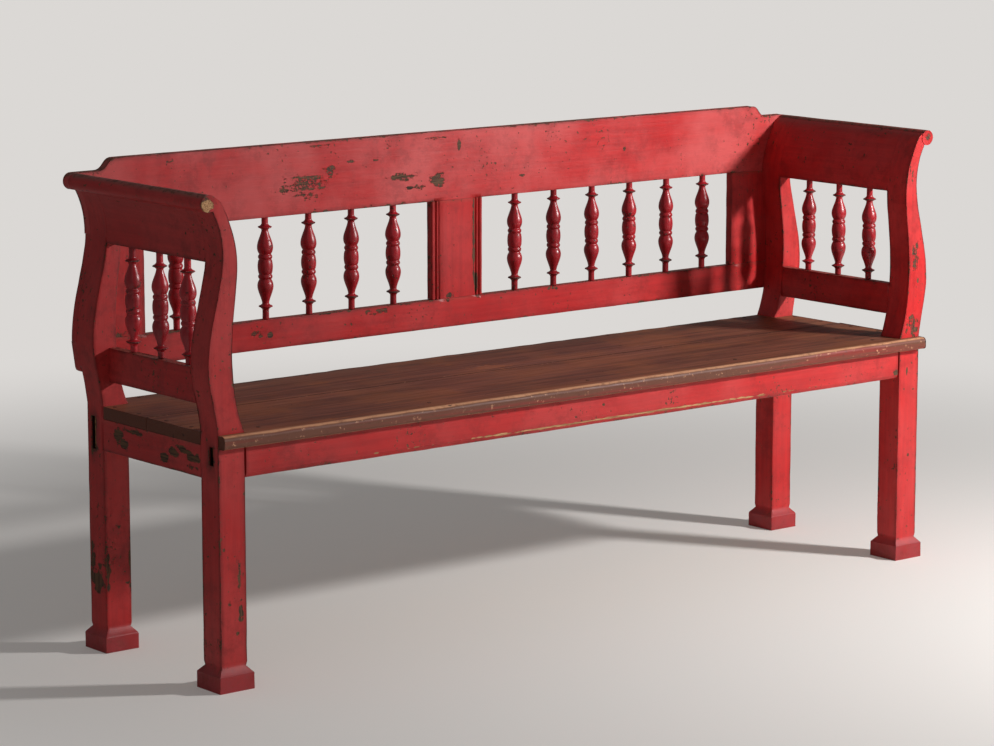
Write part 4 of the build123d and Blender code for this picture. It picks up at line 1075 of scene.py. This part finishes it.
for number, name in enumerate(("left_back_stile", "right_back_stile")):
    low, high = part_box(name)
    board = Rungs(shares(high.x - low.x), [low.y, low.y + REACH, high.y - REACH, high.y])
    for height in [PANEL_LOW, *with_reach(PANEL_LOW, PANEL_HIGH, STILE_STEP), PANEL_HIGH]:
        level = min(max(height, PANEL_LOW + 1e-4), PANEL_HIGH - 1e-4)
        inner, outer = span_in(name, level, X)
        board.add((inner, height), (outer, height), low.y, high.y)
    paint = painted(name, "z", chalk=0.25, edges=0.25)
    wooden(board.bm, name, paint, number + 53.0, rounding=PANEL_ROUNDING)
print("back panels ready")

# %% [markdown]
# A turned piece is a profile spun round its axis. The radius at each height comes from
# the construction. The value named edge is high where the profile bulges outwards
# sharply: on the rims of beads and collars.

# %% Spindles
TURNED_SIDES = 28
TURNED_STEP = 0.0012
UNEVEN = 0.00025  # of the radius
FULL_RIM = 0.0012  # how far a rim stands out whose edge counts as 1


def spindle_mesh(node, low_z, high_z, seed):
    """One turned spindle between two heights, from the construction's own profile."""
    low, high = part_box(node)
    centre = (low + high) / 2
    heights = [low_z, *steps(low_z, high_z, TURNED_STEP), high_z]
    radii = []
    for z in heights:
        across = span_at(node, Z, min(max(z, low_z + 1e-4), high_z - 1e-4), X)
        uneven = UNEVEN * noise.noise(Vector((seed, z * 60, 0))) - UNEVEN
        radii.append((across[1] - across[0]) / 2 + uneven)
    bm = bmesh.new()
    edge = value_of(bm, "edge")
    chain = [bm.verts.new((centre.x, centre.y, low_z))]
    for n, (z, radius) in enumerate(zip(heights, radii)):
        beside = (radii[max(0, n - 2)] + radii[min(len(radii) - 1, n + 2)]) / 2
        chain.append(bm.verts.new((centre.x + radius, centre.y, z)))
        chain[-1][edge] = min(1.0, max(0.0, (radius - beside) / FULL_RIM))
    chain.append(bm.verts.new((centre.x, centre.y, high_z)))
    for first, second in zip(chain, chain[1:]):
        bm.edges.new((first, second))
    outline = bm.verts[:] + bm.edges[:]
    turn = {"cent": centre, "axis": (0, 0, 1), "angle": 2 * math.pi, "steps": TURNED_SIDES}
    bmesh.ops.spin(bm, geom=outline, use_merge=True, **turn)
    bmesh.ops.remove_doubles(bm, verts=bm.verts, dist=1e-6)
    bmesh.ops.recalc_face_normals(bm, faces=bm.faces)
    return bm


turned = sorted(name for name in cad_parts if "spindle" in name)
for number, name in enumerate(turned):
    ends = PANEL_LOW, PANEL_HIGH
    if "_arm_" in name:
        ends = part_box("left_arm_rail")[1].z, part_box("left_arm_board")[0].z
    turned_mesh = spindle_mesh(name, *ends, number * 7.3)
    make_piece(turned_mesh, name, "turned", SPINDLE_PAINT, slot="spindle_paint")
print(len(turned), "spindles")

# %% [markdown]
# The seat is two boards notched round the posts. A flat outline with the notches cut
# away is extruded to the board's thickness. The front edge is rounded much more than
# the others, and worn unevenly.

# %% Seat boards
SEAT_STEP = 0.02
NOTCH_GAP = 0.0003
FOOT_PAST_LEG = 0.009
NOSING_TOP = 0.0095
NOSING_BOTTOM = 0.006


def seat_board_mesh(low, high, notch):
    """A board with notches at both ends, between two depths in Y."""
    bm = bmesh.new()
    centre = (low + high) / 2
    size = Matrix.Diagonal((high.x - low.x, high.y - low.y, 1, 1))
    shape = Matrix.Translation((centre.x, centre.y, low.z)) @ size
    bmesh.ops.create_grid(bm, x_segments=1, y_segments=1, size=0.5, matrix=shape)
    notch_x = POST_INNER_X - NOTCH_GAP
    half = [notch_x - REACH, notch_x, high.x - REACH]
    along = steps(-half[0], half[0], SEAT_STEP)
    cut_across(bm, X, sorted([-x for x in half] + along + half))
    rows = {low.y + REACH, high.y - REACH, *notch, notch[0] - REACH, notch[1] + REACH}
    rows |= set(steps(max(notch[0], low.y + REACH), high.y - REACH, SEAT_STEP))
    cut_across(bm, Y, sorted(y for y in rows if low.y + 0.002 < y < high.y - 0.002))
    notched = []
    for face in bm.faces:
        middle = face.calc_center_median()
        if abs(middle.x) > notch_x and notch[0] < middle.y < notch[1]:
            notched.append(face)
    bmesh.ops.delete(bm, geom=notched, context="FACES")
    faces = bm.faces[:]
    for n, z in enumerate((low.z + REACH, high.z - REACH, high.z)):
        faces = grow(bm, faces, close_start=n == 0)
        for v in corners_of(faces):
            v.co.z = z
    bmesh.ops.recalc_face_normals(bm, faces=bm.faces)
    return bm


def round_nosing(bm, low, high):
    """Rounds the two long front edges, and marks the upper one as worn."""
    edge = value_of(bm, "edge")
    for height, radius, worn in ((high.z, NOSING_TOP, 0.8), (low.z, NOSING_BOTTOM, 0.4)):
        rim = []
        for e in bm.edges:
            if all(abs(v.co.y - low.y) < 1e-6 and abs(v.co.z - height) < 1e-6 for v in e.verts):
                rim.append(e)
                for v in e.verts:
                    v[edge] = worn
        bevel(bm, rim, radius, 6)


WARM_PLACES = on_face(
    Z, SEAT_TOP * 1000, (-52, 44, 75, 70, 0.05), (-98, 119, 30, 12, 0.1),
    (-440, -127, 70, 30, 0.0), (-635, -208, 70, 16, 0.1), (-421, 111, 50, 18, 0.0), depth=20,
)
SEAT_DENTS = (0.0004, 0.0025, 0.0003)
rear_low, rear_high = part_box("rear_seat_board")
front_notch = (post_low.y + FOOT_PAST_LEG - NOTCH_GAP, -POST_INNER_Y + NOTCH_GAP)
rear_notch = (POST_INNER_Y - NOTCH_GAP, rear_high.y + 0.01)
settings = {"rounding": 0.0008, "dents": SEAT_DENTS, "hide_seams": False, "slot": "seat_paint"}
board = seat_board_mesh(front_low, front_high, front_notch)
round_nosing(board, front_low, front_high)
wooden(board, "front_seat_board", seat_finish("seat_front", WARM_PLACES), 61.0, **settings)
board = seat_board_mesh(rear_low, rear_high, rear_notch)
wooden(board, "rear_seat_board", seat_finish("seat_rear", WARM_PLACES), 62.0, **settings)
print("seat boards ready")

# %% [markdown]
# The long front rail belongs to the bed frame and slides out with it. Its lower edge
# is chamfered, and years of pulling have rubbed the chamfer.

# %% Front rail of the bed frame
CHAMFER_DEEP, CHAMFER_HIGH = 0.004, 0.009
low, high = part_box("bed_front_rail")
print("chamfer starts", round(span_at("bed_front_rail", Z, low.z + 1e-4, Y)[0] - low.y, 4), "m back")
board = squared(low, high)
cut_across(board, Z, [low.z + CHAMFER_HIGH])
edge = value_of(board, "edge")
for v in board.verts:
    above = v.co.z - low.z
    if v.co.y < low.y + 1e-6 and above < CHAMFER_HIGH + 1e-6:
        v.co.y += CHAMFER_DEEP * (1 - above / CHAMFER_HIGH)
        v[edge] = 0.3
paint = painted("bed_front_rail", "x", edges=0.5)
wooden(board, "bed_front_rail", paint, 71.0, rounding=0.0015, body="pull_out")
print("front rail ready")

# %% [markdown]
# The rest of the bed frame and the rails behind it keep their construction meshes:
# squared pine is squared pine. They only need their material.

# %% Pieces that keep the construction's mesh
BARE = {
    "x": ["front_tie_rail", "rear_seat_rail", "bed_front_cross_rail", "bed_rear_cross_rail"],
    "y": ["seat_bearer", "bed_middle_bearer"],
}
OF_IRON = ["seat_nails", "back_nails"]
for side in ("left", "right"):
    BARE["x"] += [f"{side}_stop_block", f"{side}_support_leg"]
    BARE["y"] += [f"{side}_runner", f"{side}_bed_bearer", f"{side}_bed_slats"]
    OF_IRON.append(f"{side}_leg_pin")
finishes = {node: PINE_ALONG[along] for along, nodes in BARE.items() for node in nodes}
finishes.update({node: IRON_DARK for node in OF_IRON})
for node, material in finishes.items():
    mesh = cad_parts[node].data
    mesh.materials.clear()
    mesh.materials.append(material)
left = sorted(set(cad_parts) - set(finishes) - set(made_pieces))
print("nodes without a finish:", left)

# %% [markdown]
# A pale floor takes the shadows. One lamp stands near the right front, as a window
# would, and a wide weak one on the left keeps the shaded sides readable. Far from the
# bench the floor turns into the backdrop's colour, which only the camera sees, so that
# no horizon shows.

# %% Floor and light
PALE_FLOOR = colour(250, 245, 240)
BACKDROP = colour(219, 216, 213)
NEAR, FAR = 1.0, 3.2  # from the middle of the floor, where it turns into the backdrop
HAZE = 0.14  # how much of the backdrop's colour the floor has near the bench


def seen_directly(tree):
    """1 for what the camera sees, 0 for the light that things send out."""
    return put(tree, "LightPath").outputs["Is Camera Ray"]


floor = bpy.data.objects.new("floor", bpy.data.meshes.new("floor"))
bm = bmesh.new()
bmesh.ops.create_grid(bm, x_segments=1, y_segments=1, size=15.0)
bm.to_mesh(floor.data)
bm.free()
bpy.context.scene.collection.objects.link(floor)
made, tree, shader = new_material("floor")
give(shader.inputs, {"Base Color": PALE_FLOOR, "Roughness": 0.9, "Specular IOR Level": 0.1})
far = times(ramp(length_of(place_in(tree)), NEAR, FAR, HAZE, 1.0), seen_directly(tree))
glow = put(tree, "Emission", {"Color": BACKDROP, "Strength": 1.0})
blended = put(tree, "MixShader", {0: far, 1: shader.outputs[0], 2: glow.outputs[0]})
give(tree.get_output_node("ALL").inputs, {0: blended.outputs[0]})
floor.data.materials.append(made)


def lamp(name, place, target, size, power):
    """A square lamp that faces a point."""
    light = bpy.data.lights.new(name, "AREA")
    light.energy, light.size = power, size
    thing = bpy.data.objects.new(name, light)
    thing.location = place
    thing.rotation_euler = (Vector(target) - Vector(place)).to_track_quat("-Z", "Y").to_euler()
    bpy.context.scene.collection.objects.link(thing)


lamp("key", (1.9, -1.95, 1.62), (0.0, 0.0, 0.5), size=0.22, power=78.0)
lamp("fill", (-3.2, -2.6, 2.2), (-0.5, 0.0, 0.5), size=2.5, power=3.5)

world = bpy.data.worlds.new("studio")
bpy.context.scene.world = world
world.use_nodes = True
tree = world.node_tree
tree.nodes.clear()
light = put(tree, "Background", {"Color": (1.0, 1.0, 1.0, 1.0), "Strength": 0.15})
backdrop = put(tree, "Background", {"Color": BACKDROP, "Strength": 1.0})
chosen = put(tree, "MixShader", {0: seen_directly(tree), 1: light.outputs[0], 2: backdrop.outputs[0]})
output = tree.nodes.new("ShaderNodeOutputWorld")
give(output.inputs, {0: chosen.outputs[0]})
bpy.context.scene.view_settings.view_transform = "Standard"
print("light ready")
